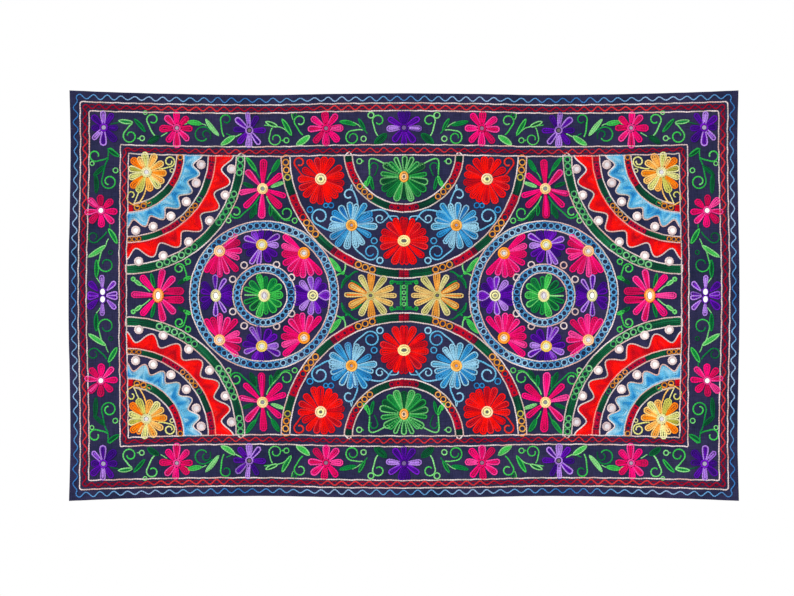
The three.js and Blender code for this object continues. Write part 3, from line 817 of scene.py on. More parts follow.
def half_rounds():
    for mz, side in ((1, "top"), (-1, "bottom")):
        w = work("half_round_" + side)
        cx = CENTRE[0]
        for mx in (1, -1):
            pen = Pen(w, mx, mz, seed=80)
            for r, end, ph in ((HALF_BIG[0], 179.3, 0.1), (HALF_BIG[1], 179.4, 0.5)):
                pen.arc(cx, 155.2, r, 90, end, phase=ph)
            for r, end, ph in ((HALF_SMALL[0], 176.6, 0.2), (HALF_SMALL[1], 177.5, 0.4)):
                pen.arc(cx, 152.3, r, 90, end, phase=ph)
            pen.stem([(344.5, 156), (349, 152), (351.5, 154.5)], 'pale', 0.4, width=CORD)
            pen.stem([(282, 158), (285, 155), (290.5, 156.5)], 'peach', 0.0, width=1.3)
            pen.band(cx, 155.2, *HALF_BIG, [
                (90.0, 92.4, "rows", "red", 0.16), (92.7, 103.5, "rows", "moss", 0.2),
                (103.7, 114.4, "wide", "ochre", 0.3), (114.7, 125.2, "tight", "red", 0.38, "maroon", 0.45),
                (125.4, 127.4, "rows", "maroon", 0.0),
                (127.6, 136.4, "rows", "moss", 0.3), (136.6, 147.0, "wide", "ochre", 0.35), (147.0, 150.0, "wide", "red", 0.5),
                (150.3, 160.4, "tight", "red", 0.36, "maroon", 0.3), (160.6, 167.6, "rows", "moss", 0.2),
                (167.6, 171.0, "wide", "lime", 0.0), (171.0, 178.4, "wide", "ochre", 0.4)])
            pen.band(cx, 152.3, *HALF_SMALL, [
                (90.0, 94.0, "rows", "red", 0.14), (94, 98, "tight", "red", 0.3, "maroon", 0.2), (98, 100.6, "rows", "red", 0.2),
                (100.8, 104.6, "tight", "maroon", 0.3, "maroon", 0.0), (104.8, 123.8, "rows", "moss", 0.1),
                (124.0, 146.0, "wide", "ochre", 0.4), (146.0, 152.6, "wide", "red", 0.5),
                (153, 170, "tight", "red", 0.36, "maroon", 0.35), (170.3, 177, "rows", "moss", 0.0)])
            # blue flower, its scrolls
            pen.sprig([
                ("c", (357.5, 204.5, 349, 194.5), 5.5, -300, (0.56, 0.7), 1.75),
                ("s", [(350.5, 189), (351.5, 184), (352.5, 190)], 0.7, 1.1),
                ("c", (331, 230.5, 320, 216.5), 8.5, 420, (0.5, 0.66), 1.85),
                ("r", 310.0, 209.6, 2.9, 0.22, 1.4), ("r", 325.9, 205.4, 2.2, 0.2, 1.4), ("r", 331.1, 205.3, 2.6, 0.12, 1.3),
                ("s", [(360.5, 213.5), (382, 210), (392.5, 220.5)], (0.66, 0.5), 1.8),
                ("c", (389, 215.5, 380, 218.5), 4.5, 375, (0.6, 0.72), 1.5),
                ("s", [(389.5, 216), (397, 216.5), (398.5, 220)], 0.6, 1.3),
                ("c", (353.5, 246, 371, 252), 8, -465, (0.64, 0.26), 1.6),
                ("r", 374.2, 240.8, 2.9, 0.3, 1.4), ("r", 380.0, 260.5, 3.0, 0.62, 1.6)], "sky")
            pen.flower(351.6, 225.2, "sky", [
                (-33, 24.3, 4.0, "m"), (28.8, 22.5, 3.0, "m"), (126, 26.7, 3.5, "m"), (216, 24.1, 3.4, "m"), (-56, 26.7, 3.2, "e"),
                (-16, 23.0, 2.8, "o"), (3.4, 26.0, 3.4, "r"), (170.7, 23.8, 3.2, "l"), (181, 22.9, 2.8, "l"),
                (199, 22.7, 3.1, "x"), (-95, 23.7, 3.4, "o"), (-77.5, 22.7, 2.9, "l"), (150, 25.3, 3.7, "o"),
                (100.8, 24.3, 3.6, "r"), (56.4, 23.0, 3.1, "l"), (77, 23.3, 3.3, "l"), (-120, 23.1, 3.4, "x")], r0=5.6, base=1.15)
            pen.eye(351.6, 225.2, (1.4, 1.4, "lilac"), [(2.6, 2.6, 2.2, "ochre", 0.3), (4.8, 4.8, 2.2, "orange", 0.5)])
            # red flower, its curl
            pen.scroll(304, 176, 299.5, 162.5, 5.5, 345, "red", (0.6, 0.72), width=1.8)
            pen.flower(320.8, 179.0, "scarlet", [
                (9.5, 24.3, 3.6, "d"), (210.6, 21.4, 3.5, "m"), (90, 25.9, 3.6, "c"), (-58, 24.5, 3.5, "e"), (258, 22.4, 3.4, "x"),
                (158, 24.1, 3.4, "x"), (-33, 25.0, 3.4, "x"), (134.7, 25.0, 3.5, "e"), (68.7, 25.3, 3.5, "b"), (28, 24.8, 3.6, "r"),
                (-11.5, 23.9, 3.4, "b"), (180, 23.3, 3.6, "r"), (236, 23.7, 3.1, "b"), (49.6, 25, 3.6, "b"), (109.7, 26.4, 3.7, "r"),
                (-80, 23.3, 3.7, "b")], r0=5.6, base=1.15)
            pen.eye(320.8, 179.0, (1.5, 1.5, "dark"), [(2.7, 2.7, 2.2, "cream", 0.5), (5.0, 5.0, 1.8, "peach", 0.55)])
            # green scroll
            pen.sprig([
                ("c", (374, 176, 373.5, 166.5), 4.5, -255, (0.12, 0.3), 1.5),
                ("s", [(369.5, 175), (371.5, 158.5), (398, 171)], (0.56, 0.72), 1.6),
                ("r", 359.4, 161.2, 2.6, 0.74), ("s", [(361.8, 161.2), (364, 161)], 0.5, 2.0),
                ("l", (370, 175.6, 366.4, 186.4), 2.0, "e"), ("l", (366.6, 180.6, 363.8, 188), 1.7, "b"),
                ("l", (371, 176.6, 373.8, 190), 1.9, "c")])
        # flowers on the middle line, drawn in mirrored halves
        for mx in (1, -1):
            pen = Pen(w, mx, mz, seed=85)
            pen.flower(404.0, 176.7, "fern", [
                (-114, 22.0, 2.6, "x"), (187, 23.9, 2.5, "e"), (129, 25.8, 3.6, "m"), (148.5, 26.3, 3.7, "c"),
                (212.6, 24.5, 3.7, "x"), (-137, 21.3, 2.8, "e"), (166, 25.3, 3.7, "x"), (110, 25.9, 3.7, "r")], r0=5.2, base=1.3)
            pen.flower(404.0, 240.8, "scarlet", [
                (-95.5, 24.2, 2.6, "d"), (205.6, 24.9, 3.6, "m"), (94.5, 24.7, 2.6, "c"), (228, 24.6, 3.6, "x"),
                (163.7, 25.0, 3.4, "x"), (141.7, 26.1, 3.3, "i"), (183.4, 24.9, 3.7, "r"), (-112.8, 24.5, 3.1, "b"),
                (114.7, 25.9, 4.0, "r")], r0=5.6, base=1.15)
        pen = Pen(w, 1, mz, seed=86)
        pen.flower(404.0, 176.7, "fern", [(-90, 21.5, 3.1, "x"), (90, 23.6, 3.3, "d")], r0=5.2, base=1.1)
        pen.eye(404.0, 176.7, (1.1, 1.2, "dark"), [(1.9, 2.3, 1.5, "peach", 0.6), (3.5, 4.7, 2.0, "orange", 0.4)])
        pen.eye(404.0, 240.8, (2.7, 1.5, "dark"), [(3.7, 2.7, 1.9, "cream", 0.5), (5.5, 4.8, 2.0, "cream", 0.05)])


# ---------------------------------------------------------------- round medallions, left and right
ROUND = {"outer": 74.4, "rim": 65.8, "ring": 31.2, "bore": 23.0}    # radii of the outlines


def medallions():
    x, y = 264.2, CENTRE[1]
    for mx, hand in ((1, "left"), (-1, "right")):
        w = work("medallion_" + hand)
        for mz in (1, -1):
            pen = Pen(w, mx, mz, seed=90)
            for k, r in enumerate(ROUND.values()):
                pen.arc(x, y, r, 180, 360, phase=0.3 + 0.2 * k)
            pen.band(x, y, ROUND["rim"], ROUND["outer"], [
                (180, 201, "thick", "azure", 0.46), (201, 222, "rings", "azure", 0.55), (222, 238, "rings", "azure", 0.40),
                (238, 256, "rings", "azure", 0.62), (256, 272, "rings", "azure", 0.42), (272, 283, "rings", "azure", 0.48),
                (283, 305, "rings", "azure", 0.70), (305, 326, "rings", "azure", 0.46), (326, 344, "rings", "azure", 0.62),
                (344, 360, "thick", "azure", 0.48)])
            pen.band(x, y, ROUND["bore"], ROUND["ring"], [
                (180, 215, "thick", "azure", 0.44), (215, 262, "rings", "azure", 0.48), (262, 295, "rings", "azure", 0.66),
                (295, 330, "rings", "azure", 0.40), (330, 360, "rings", "azure", 0.34)])
            for cx, cy, r in ((244.2, 265.2, 3.2), (232.8, 279.3, 3.1), (276.6, 264.7, 3.1), (291.4, 277.4, 3.2)):
                pen.ring(cx, cy, r, "pale", pen.rng.random() * 0.5, width=1.5, lift=0.2)
            # green flower, upper half
            pen.flower(x, y, "leaf", [
                (-85, 19.7, 2.6, "m"), (199, 21.9, 2.6, "c"), (226, 20.5, 3.6, "c"), (-56, 20.7, 3.7, "m"), (-31.5, 20.5, 3.3, "e"),
                (-105, 22.7, 3.3, "b")], r0=5.4, base=1.5)
            # purple flower above, pink half flowers
            pen.flower(261.8, 244.8, "purple", [
                (-59, 17.1, 3.4, "d"), (144, 18.3, 3.6, "d"), (174, 19.5, 3.4, "c"), (65.6, 19.3, 3.6, "c"), (36, 18.9, 3.3, "c"),
                (-93, 16.1, 3.0, "m"), (-124.7, 17.1, 3.2, "b"), (120.5, 22.7, 2.8, "r"), (4.6, 17.3, 3.3, "l"),
                (-28, 20.9, 3.3, "o"), (200, 19.5, 3.2, "r"), (100, 21.0, 2.6, "o")], r0=5.0, base=1.2)
            pen.eye(261.8, 244.8, (2.2, 2.2, "soft"), [(3.1, 3.1, 1.6, "cream", 0.5), (4.9, 4.9, 1.9, "gold", 0.3)])
            pen.flower(219.6, 251.0, "pink", [
                (-24.4, 23, 3.3, "d"), (49, 27.1, 3.2, "c"), (108, 24.7, 3.4, "m"), (69, 24.9, 3.3, "o"), (0, 22.7, 3.3, "o"),
                (124, 25.7, 3.2, "e"), (90, 26.6, 3.1, "l"), (20.6, 21.6, 3.0, "l"), (-42, 24.7, 2.9, "r")], r0=5.2, base=1.2)
            pen.eye(219.6, 251.0, (2.0, 2.0, "soft"), [(3.0, 3.0, 1.6, "peach", 0.74), (4.8, 4.8, 1.9, "peach", 0.32)])
            pen.flower(303.9, 253.2, "pink", [
                (176.6, 22.9, 3.7, "m"), (109, 25.1, 3.5, "m"), (151.6, 23.8, 3.1, "e"), (51.4, 27.5, 3.1, "e"),
                (129, 24.1, 3.3, "o"), (71.6, 23.9, 3.5, "o"), (93, 25.1, 3.3, "r"), (200.5, 24.5, 3.3, "l"), (221.6, 27.7, 3.3, "b")],
                r0=5.6, base=1.2)
            pen.eye(303.9, 253.2, (1.9, 1.9, "soft"), [(3.0, 3.0, 1.6, "peach", 0.5), (5.0, 5.0, 2.2, "orange", 0.22)])
            # halves of the purple flowers on the middle line
            pen.flower(215.8, y, "purple", [
                (-137, 19.3, 3.4, "d"), (-30, 18.9, 3.3, "d"), (-163, 16.4, 3.0, "c"), (-10, 17.1, 2.6, "m"), (-59, 19.9, 2.4, "o"),
                (-91, 21.5, 2.9, "o")], r0=5.2, base=1.1)
            pen.flower(312.8, y, "purple", [
                (-40.7, 17.9, 3.8, "d"), (203.7, 20.9, 3.6, "c"), (187, 17.9, 2.6, "m"), (-70, 19.7, 3.2, "b"), (-98, 19.9, 3.2, "r"),
                (-130, 19.5, 3.4, "l")], r0=5.2, base=1.1)
        pen = Pen(w, mx, 1, seed=95)
        pen.flower(x, y, "leaf", [(180, 20.8, 1.0, "l"), (0, 19.3, 4.0, "b")], r0=5.4, base=1.2)
        pen.eye(x, y, (1.7, 2.7, "soft"), [(2.7, 3.7, 1.4, "shell", 0.5), (4.6, 5.3, 2.6, "lime", 0.62)])
        pen.flower(312.8, y, "purple", [(0, 18.7, 5.5, "r")], r0=5.2, base=1.2)
        pen.eye(215.8, y, (2.3, 3.1, "white"), [(3.5, 4.3, 1.5, "cream", 0.75), (4.7, 5.6, 1.2, "lime", 0.6)])
        pen.eye(312.8, y, (1.3, 1.0, "grey"), [(2.5, 2.2, 2.0, "lime", 0.66), (4.7, 5.0, 1.7, "cream", 0.7)])


# ---------------------------------------------------------------- side sprays and the middle
def side_sprays():
    for mx, hand in ((1, "left"), (-1, "right")):
        w = work("side_spray_" + hand)
        x, y = 158.3, CENTRE[1]
        for mz in (1, -1):
            pen = Pen(w, mx, mz, seed=105)
            pen.sprig([
                ("l", (154.6, 288, 151.4, 273.4), 2.1, "c"), ("l", (178, 284, 186, 279.4), 2.3, "d"),
                ("l", (183.6, 280.4, 191, 277.0), 2.2, "b"), ("s", [(150.6, 292), (146, 288), (141, 284.6)], 0.66, 1.4),
                ("l", (141.6, 285.4, 134.6, 280.2), 2.2, "r"), ("r", 133.4, 279.2, 1.7, 0.6, 2.0),
                ("c", (186.5, 277, 179.5, 268.5), 5, -450, (0.4, 0.64), 1.65),
                ("r", 188.0, 261.6, 2.6, 0.5, 1.5), ("s", [(186, 265.6), (187, 263.8)], 0.5, 1.4),
                ("l", (329.0, 257.8, 341, 272), 3.1, "b"), ("s", [(345.6, 263), (345.2, 268), (343.8, 272.4)], (0.74, 0.66), 1.6),
                ("s", [(343.2, 273.6), (338.4, 274.2), (335, 277.4)], (0.5, 0.74), 1.6), ("r", 343.0, 273.0, 1.0, 0.5, 2.0),
                ("s", [(345, 275), (348, 277.4)], 0.3, 2.4),
                ("s", [(348.5, 277), (354.5, 272), (358.5, 271.5)], (0.26, 0.1), 2.0),
                ("s", [(350.5, 275), (343.5, 280.5), (341.5, 288.5)], 0.18, 1.9),
                ("s", [(351, 277), (345, 282), (343, 286)], 0.06, 1.7),
                ("s", [(350.8, 280.6), (357, 283), (362, 287)], (0.34, 0.16), 1.8)])
            pen.flower(x, y, "pink", [(-130, 26.3, 3.4, "b"), (-49, 25.1, 3.4, "r"), (-78, 26.9, 3.4, "o")], r0=5.6, base=1.7)
            pen.petal(x + 3.0, y - 4.3, 0, 2.0, 23.0, 4.0, ("pink", 0.22), ("pink", 0.04), base=3.0)
        pen = Pen(w, mx, 1, seed=100)
        pen.flower(x, y, "pink", [(180, 27.4, 3.4, "l")], r0=5.0, base=2.0)
        pen.eye(x, y, (2.3, 3.9, "white"), [(3.6, 5.4, 2.2, "peach", 0.14), (4.9, 6.7, 1.3, "orange", 0.06)])


def middle():
    w = work("middle_flowers")
    for mx in (1, -1):
        x, y = 370.6, CENTRE[1]
        for mz in (1, -1):
            pen = Pen(w, mx, mz, seed=110)
            pen.flower(x, y, "honey", [
                (-152, 24.8, 3.6, "i"), (-20, 24.9, 3.2, "r"), (-118, 23.1, 3.3, "r", "hay"), (-52.6, 24.7, 3.6, "r", "hay"),
                (-87, 24.2, 3.8, "m")], r0=3.8, base=1.5)
        pen = Pen(w, mx, 1, seed=112)
        pen.flower(x, y, "honey", [(0, 26.4, 2.6, "l"), (180, 26.8, 2.6, "x")], r0=3.8, base=1.3)
        pen.eye(x, y, (1.8, 1.4, "dark"), [(2.9, 2.6, 1.6, "hay", 0.4), (4.2, 4.0, 1.3, "honey", 0.7)])
    pen = Pen(w, 1, 1, seed=120)
    for sx in (-1, 1):
        pen.row([(404 + sx * 3.1, t) for t in np.linspace(284.6, 306.4, 8)], "fern", 0.40, width=2.0, wobble=0.15)
        for sy in (-1, 1):
            yy = CENTRE[1] + sy * 13.8
            pen.row([(404 + sx * t, yy + sy * (0.5 - 0.8 * math.sin(t / 3.6))) for t in np.linspace(0.4, 12.4, 9)],
                    "leaf", 0.22, width=2.3, wobble=0.2)
            pen.row([(404 + sx * t, yy - sy * 2.1) for t in np.linspace(1.0, 8.0, 5)], "leaf", 0.3, width=1.7)
            pen.ring(404 + sx * 12.4, yy - sy * 0.8, 1.6, "leaf", 0.36, width=1.4)
            pen.row([(404 + sx * 12.6, yy + sy * t) for t in (-3.0, -1.0, 1.4, 2.6)], "leaf", 0.3, width=1.2)
    for k in range(4):
        pen.ring(404, 286.9 + 5.75 * k, 1.75, "fern", 0.66, width=1.4)


for make in (edging, borders, fans, stars, half_rounds, medallions, side_sprays, middle):
    make()


# ---------------------------------------------------------------- materials
def new_material(name):
    m = bpy.data.materials.new(name)
    m.use_nodes = True
    nt = m.node_tree
    return m, nt, nt.nodes["Principled BSDF"]


def node(nt, kind, **sets):
    n = nt.nodes.new(kind)
    for k, v in sets.items():
        if k in n.inputs:
            n.inputs[k].default_value = v
        else:
            setattr(n, k, v)
    return n


def thread_material():
    """Soft stranded yarn: the dyed colour from the rows with their painted shade, filaments and the dip where loops
    link.
    """
    m, nt, bsdf = new_material("embroidery_yarn")
    link = nt.links.new
    # dye holds the yarn's colour with the rows' painted shade in it
    colour = node(nt, "ShaderNodeAttribute", attribute_name="dye")
    tag = node(nt, "ShaderNodeAttribute", attribute_name="lie")
    split = node(nt, "ShaderNodeSeparateXYZ")
    link(tag.outputs["Vector"], split.inputs[0])
    # filaments run along the row and lean in towards each link
    lean = node(nt, "ShaderNodeMath", operation="MULTIPLY_ADD")
    link(split.outputs["X"], lean.inputs[0])
    lean.inputs[1].default_value = 0.05
    link(split.outputs["Y"], lean.inputs[2])
    strands = node(nt, "ShaderNodeMath", operation="MULTIPLY")
    link(lean.outputs[0], strands.inputs[0])
    strands.inputs[1].default_value = 44.0
    wave = node(nt, "ShaderNodeMath", operation="SINE")
    link(strands.outputs[0], wave.inputs[0])
    coord = node(nt, "ShaderNodeTexCoord")
    fuzz = node(nt, "ShaderNodeTexNoise", Scale=900.0, Detail=3.0, Roughness=0.65)
    link(coord.outputs["Object"], fuzz.inputs["Vector"])
    patch = node(nt, "ShaderNodeTexNoise", Scale=55.0, Detail=2.0)
    link(coord.outputs["Object"], patch.inputs["Vector"])
    hs = node(nt, "ShaderNodeHueSaturation")
    hs.inputs["Saturation"].default_value = 1.04
    ramp = node(nt, "ShaderNodeMapRange")
    ramp.inputs["From Min"].default_value, ramp.inputs["From Max"].default_value = 0.3, 0.7
    ramp.inputs["To Min"].default_value, ramp.inputs["To Max"].default_value = 0.84, 1.14
    link(patch.outputs["Fac"], ramp.inputs["Value"])
    fz = node(nt, "ShaderNodeMapRange")
    fz.inputs["From Min"].default_value, fz.inputs["From Max"].default_value = 0.25, 0.75
    fz.inputs["To Min"].default_value, fz.inputs["To Max"].default_value = 0.80, 1.18
    link(fuzz.outputs["Fac"], fz.inputs["Value"])
    both = node(nt, "ShaderNodeMath", operation="MULTIPLY")
    link(ramp.outputs[0], both.inputs[0])
    link(fz.outputs[0], both.inputs[1])
    link(both.outputs[0], hs.inputs["Value"])
    link(colour.outputs["Color"], hs.inputs["Color"])
    link(hs.outputs["Color"], bsdf.inputs["Base Color"])
    mix = node(nt, "ShaderNodeMath", operation="MULTIPLY_ADD")
    link(wave.outputs[0], mix.inputs[0])
    mix.inputs[1].default_value = 0.5
    link(fuzz.outputs["Fac"], mix.inputs[2])
    bump = node(nt, "ShaderNodeBump", Strength=0.45, Distance=0.0004)
    link(mix.outputs[0], bump.inputs["Height"])
    link(bump.outputs["Normal"], bsdf.inputs["Normal"])
    bsdf.inputs["Roughness"].default_value = 0.7
    bsdf.inputs["Specular IOR Level"].default_value = 0.07
    return m


def cotton_material():
    """Dark indigo plain weave with slubs, slight fading and a purple cast here and there."""
    m, nt, bsdf = new_material("indigo_cotton")
    link = nt.links.new
    coord = node(nt, "ShaderNodeTexCoord")
    clouds = node(nt, "ShaderNodeTexNoise", Scale=9.0, Detail=4.0, Roughness=0.6)
    link(coord.outputs["Object"], clouds.inputs["Vector"])
    warp = node(nt, "ShaderNodeMapping")
    warp.inputs["Scale"].default_value = (900.0, 900.0, 45.0)
    link(coord.outputs["Object"], warp.inputs["Vector"])
    weft = node(nt, "ShaderNodeMapping")
    weft.inputs["Scale"].default_value = (45.0, 900.0, 900.0)
    link(coord.outputs["Object"], weft.inputs["Vector"])
    n1 = node(nt, "ShaderNodeTexNoise", Scale=1.0, Detail=2.0)
    n2 = node(nt, "ShaderNodeTexNoise", Scale=1.0, Detail=2.0)
    link(warp.outputs[0], n1.inputs["Vector"])
    link(weft.outputs[0], n2.inputs["Vector"])
    slub = node(nt, "ShaderNodeMath", operation="ADD")
    link(n1.outputs["Fac"], slub.inputs[0])
    link(n2.outputs["Fac"], slub.inputs[1])
    ramp = node(nt, "ShaderNodeValToRGB")
    ramp.color_ramp.elements[0].position = 0.30
    ramp.color_ramp.elements[0].color = (*linear(21, 27, 50), 1)
    ramp.color_ramp.elements[1].position = 0.72
    ramp.color_ramp.elements[1].color = (*linear(40, 36, 64), 1)
    link(clouds.outputs["Fac"], ramp.inputs["Fac"])
    vary = node(nt, "ShaderNodeMapRange")
    vary.inputs["From Min"].default_value, vary.inputs["From Max"].default_value = 0.7, 1.3
    vary.inputs["To Min"].default_value, vary.inputs["To Max"].default_value = 0.62, 1.45
    link(slub.outputs[0], vary.inputs["Value"])
    hs = node(nt, "ShaderNodeHueSaturation")
    link(vary.outputs[0], hs.inputs["Value"])
    link(ramp.outputs["Color"], hs.inputs["Color"])
    link(hs.outputs["Color"], bsdf.inputs["Base Color"])
    # plain weave: warp and weft cross over and under every 0.9 mm
    sep = node(nt, "ShaderNodeSeparateXYZ")
    link(coord.outputs["Object"], sep.inputs[0])
    waves = []
    for axis in ("X", "Z"):
        k = node(nt, "ShaderNodeMath", operation="MULTIPLY")
        link(sep.outputs[axis], k.inputs[0])
        k.inputs[1].default_value = 2 * math.pi / 0.0018
        s = node(nt, "ShaderNodeMath", operation="SINE")
        link(k.outputs[0], s.inputs[0])
        waves.append(s)
    over = node(nt, "ShaderNodeMath", operation="MULTIPLY")
    link(waves[0].outputs[0], over.inputs[0])
    link(waves[1].outputs[0], over.inputs[1])
    height = node(nt, "ShaderNodeMath", operation="MULTIPLY_ADD")
    link(over.outputs[0], height.inputs[0])
    height.inputs[1].default_value = 0.4
    link(slub.outputs[0], height.inputs[2])
    bump = node(nt, "ShaderNodeBump", Strength=0.5, Distance=0.00025)
    link(height.outputs[0], bump.inputs["Height"])
    link(bump.outputs["Normal"], bsdf.inputs["Normal"])
    bsdf.inputs["Roughness"].default_value = 0.9
    bsdf.inputs["Specular IOR Level"].default_value = 0.06
    return m


def mirror_material():
    """Thin blown-glass mirror: bright, a little uneven, with faint grey clouding."""
    m, nt, bsdf = new_material("blown_glass_mirror")
    link = nt.links.new
    coord = node(nt, "ShaderNodeTexCoord")
    cloud = node(nt, "ShaderNodeTexNoise", Scale=160.0, Detail=3.0)
    link(coord.outputs["Object"], cloud.inputs["Vector"])
    ramp = node(nt, "ShaderNodeValToRGB")
    ramp.color_ramp.elements[0].position, ramp.color_ramp.elements[0].color = 0.35, (0.93, 0.93, 0.93, 1)
    ramp.color_ramp.elements[1].position, ramp.color_ramp.elements[1].color = 0.62, (1.0, 1.0, 0.99, 1)
    link(cloud.outputs["Fac"], ramp.inputs["Fac"])
    # the dye attribute holds each mirror's painted reflection tint: darker or coloured for what it reflects
    painted_reflection = node(nt, "ShaderNodeAttribute", attribute_name="dye")
    tinted = node(nt, "ShaderNodeVectorMath", operation="MULTIPLY")
    link(ramp.outputs["Color"], tinted.inputs[0])
    link(painted_reflection.outputs["Color"], tinted.inputs[1])
    link(tinted.outputs[0], bsdf.inputs["Base Color"])
    rough = node(nt, "ShaderNodeMapRange")
    rough.inputs["To Min"].default_value, rough.inputs["To Max"].default_value = 0.06, 0.2
    link(cloud.outputs["Fac"], rough.inputs["Value"])
    link(rough.outputs[0], bsdf.inputs["Roughness"])
    big = node(nt, "ShaderNodeTexNoise", Scale=90.0, Detail=1.0)
    link(coord.outputs["Object"], big.inputs["Vector"])
    bump = node(nt, "ShaderNodeBump", Strength=0.25, Distance=0.001)
    link(big.outputs["Fac"], bump.inputs["Height"])
    link(bump.outputs["Normal"], bsdf.inputs["Normal"])
    bsdf.inputs["Metallic"].default_value = 0.72
    return m


YARN, COTTON, SILVER = thread_material(), cotton_material(), mirror_material()


# ---------------------------------------------------------------- meshes
def mesh_object(name, co, faces, material, smooth=True):
    """faces is a list of index arrays, each with a fixed number of corners."""
    me = bpy.data.meshes.new(name)
    co = np.asarray(co, np.float32) / 1000.0
    me.vertices.add(len(co))
    me.vertices.foreach_set("co", co.ravel())
    flat = np.concatenate([np.asarray(f, np.int32).ravel() for f in faces])
    sizes = np.concatenate([np.full(len(f), np.shape(f)[1], np.int32) for f in faces])
    starts = np.r_[0, np.cumsum(sizes)[:-1]].astype(np.int32)
    me.loops.add(len(flat))
    me.loops.foreach_set("vertex_index", flat)
    me.polygons.add(len(sizes))
    me.polygons.foreach_set("loop_start", starts)
    me.polygons.foreach_set("use_smooth", np.full(len(sizes), smooth, bool))
    me.update(calc_edges=True)
    me.validate()
    me.materials.append(material)
    ob = bpy.data.objects.new(name, me)
    bpy.context.scene.collection.objects.link(ob)
    return ob


def planar_map(ob):
    """A bake map that looks straight at the face of the hanging."""
    me = ob.data
    co = np.empty(len(me.vertices) * 3, np.float32)
    me.vertices.foreach_get("co", co)
    co = co.reshape(-1, 3)
    idx = np.empty(len(me.loops), np.int32)
    me.loops.foreach_get("vertex_index", idx)
    lo, hi = co.min(0), co.max(0)
    scale = 0.98 / max(hi[0] - lo[0], hi[2] - lo[2])
    uv = np.stack([(co[:, 0] - lo[0]) * scale + 0.01, (co[:, 2] - lo[2]) * scale + 0.01], -1)
    layer = me.uv_layers.new(name="OFBake")
    layer.data.foreach_set("uv", uv[idx].astype(np.float32).ravel())


def paint(ob, col, tag):
    me = ob.data
    # The dye attribute holds the rows' colour with its painted shade, and for the mirrors their painted reflection tint
    a = me.color_attributes.new(name="dye", type="FLOAT_COLOR", domain="POINT")
    rgba = np.c_[np.clip(col, 0, 1), np.ones(len(col))].astype(np.float32)
    a.data.foreach_set("color", rgba.ravel())
    b = me.attributes.new("lie", "FLOAT_VECTOR", "POINT")
    b.data.foreach_set("vector", tag.astype(np.float32).ravel())


def to_row(co):
    """From the panel's centre to the row frame."""
    co = co.copy()
    co[:, 2] += CENTRE_Z
    return co


def build_cloth():
    """One closed sheet: face, turned hem on the back, and a soft folded rim."""
    def cuts(half, n):
        inner = np.linspace(-(half - HEM - 1.2), half - HEM - 1.2, n)
        outer = [half - HEM - 0.4, half - HEM, half - HEM * 0.5, half - 2.2, half - 0.8]
        return np.r_[[-half], [-o for o in outer[::-1]], inner, outer, [half]] / half
    us, ws = cuts(HALF_WIDTH, 124), cuts(HALF_HEIGHT, 76)
    U, W = np.meshgrid(us, ws)
    nx, nz = len(us), len(ws)
    X = U * (HALF_WIDTH - inset(SHORT_EDGE, W * HALF_HEIGHT))
    Z = W * (HALF_HEIGHT - inset(LONG_EDGE, U * HALF_WIDTH))
    dist = np.minimum(HALF_WIDTH * (1 - np.abs(U)), HALF_HEIGHT * (1 - np.abs(W)))
    round_off = 0.62 * np.clip(1 - dist / 2.2, 0, 1) ** 2
    seam = 0.22 * np.exp(-((dist - HEM) / 1.3) ** 2)
    hem = np.where(dist < HEM - 0.2, HEM_EXTRA, 0.0)
    front = np.stack([X, face_y(X, Z) + round_off + seam, Z], -1).reshape(-1, 3)
    back = np.stack([X, back_y(X, Z) + hem - round_off, Z], -1).reshape(-1, 3)
    co = np.vstack([front, back])
    m = nx * nz
    g = np.arange(m).reshape(nz, nx)
    a, b, c, d = g[:-1, :-1], g[:-1, 1:], g[1:, 1:], g[1:, :-1]
    f_front = np.stack([a, b, c, d], -1).reshape(-1, 4)
    f_back = np.stack([a, d, c, b], -1).reshape(-1, 4) + m
    rim = np.r_[g[0, :-1], g[:-1, -1], g[-1, :0:-1], g[:0:-1, 0]]
    nxt = np.roll(rim, -1)
    f_rim = np.stack([rim, rim + m, nxt + m, nxt], -1)
    ob = mesh_object("cloth_sheet", to_row(co), [f_front, f_back, f_rim], COTTON)
    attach(ob, "root")
    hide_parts("ground_cloth")
    return ob


def build_work(w):
    co, col, tag = np.vstack(w.co), np.vstack(w.col), np.vstack(w.tag)
    faces = [np.vstack(w.quads)]
    if w.fives:
        faces.append(np.vstack(w.fives))
    ob = mesh_object(w.name, to_row(co), faces, YARN)
    paint(ob, col, tag)
    planar_map(ob)
    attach(ob, "root")
    return ob


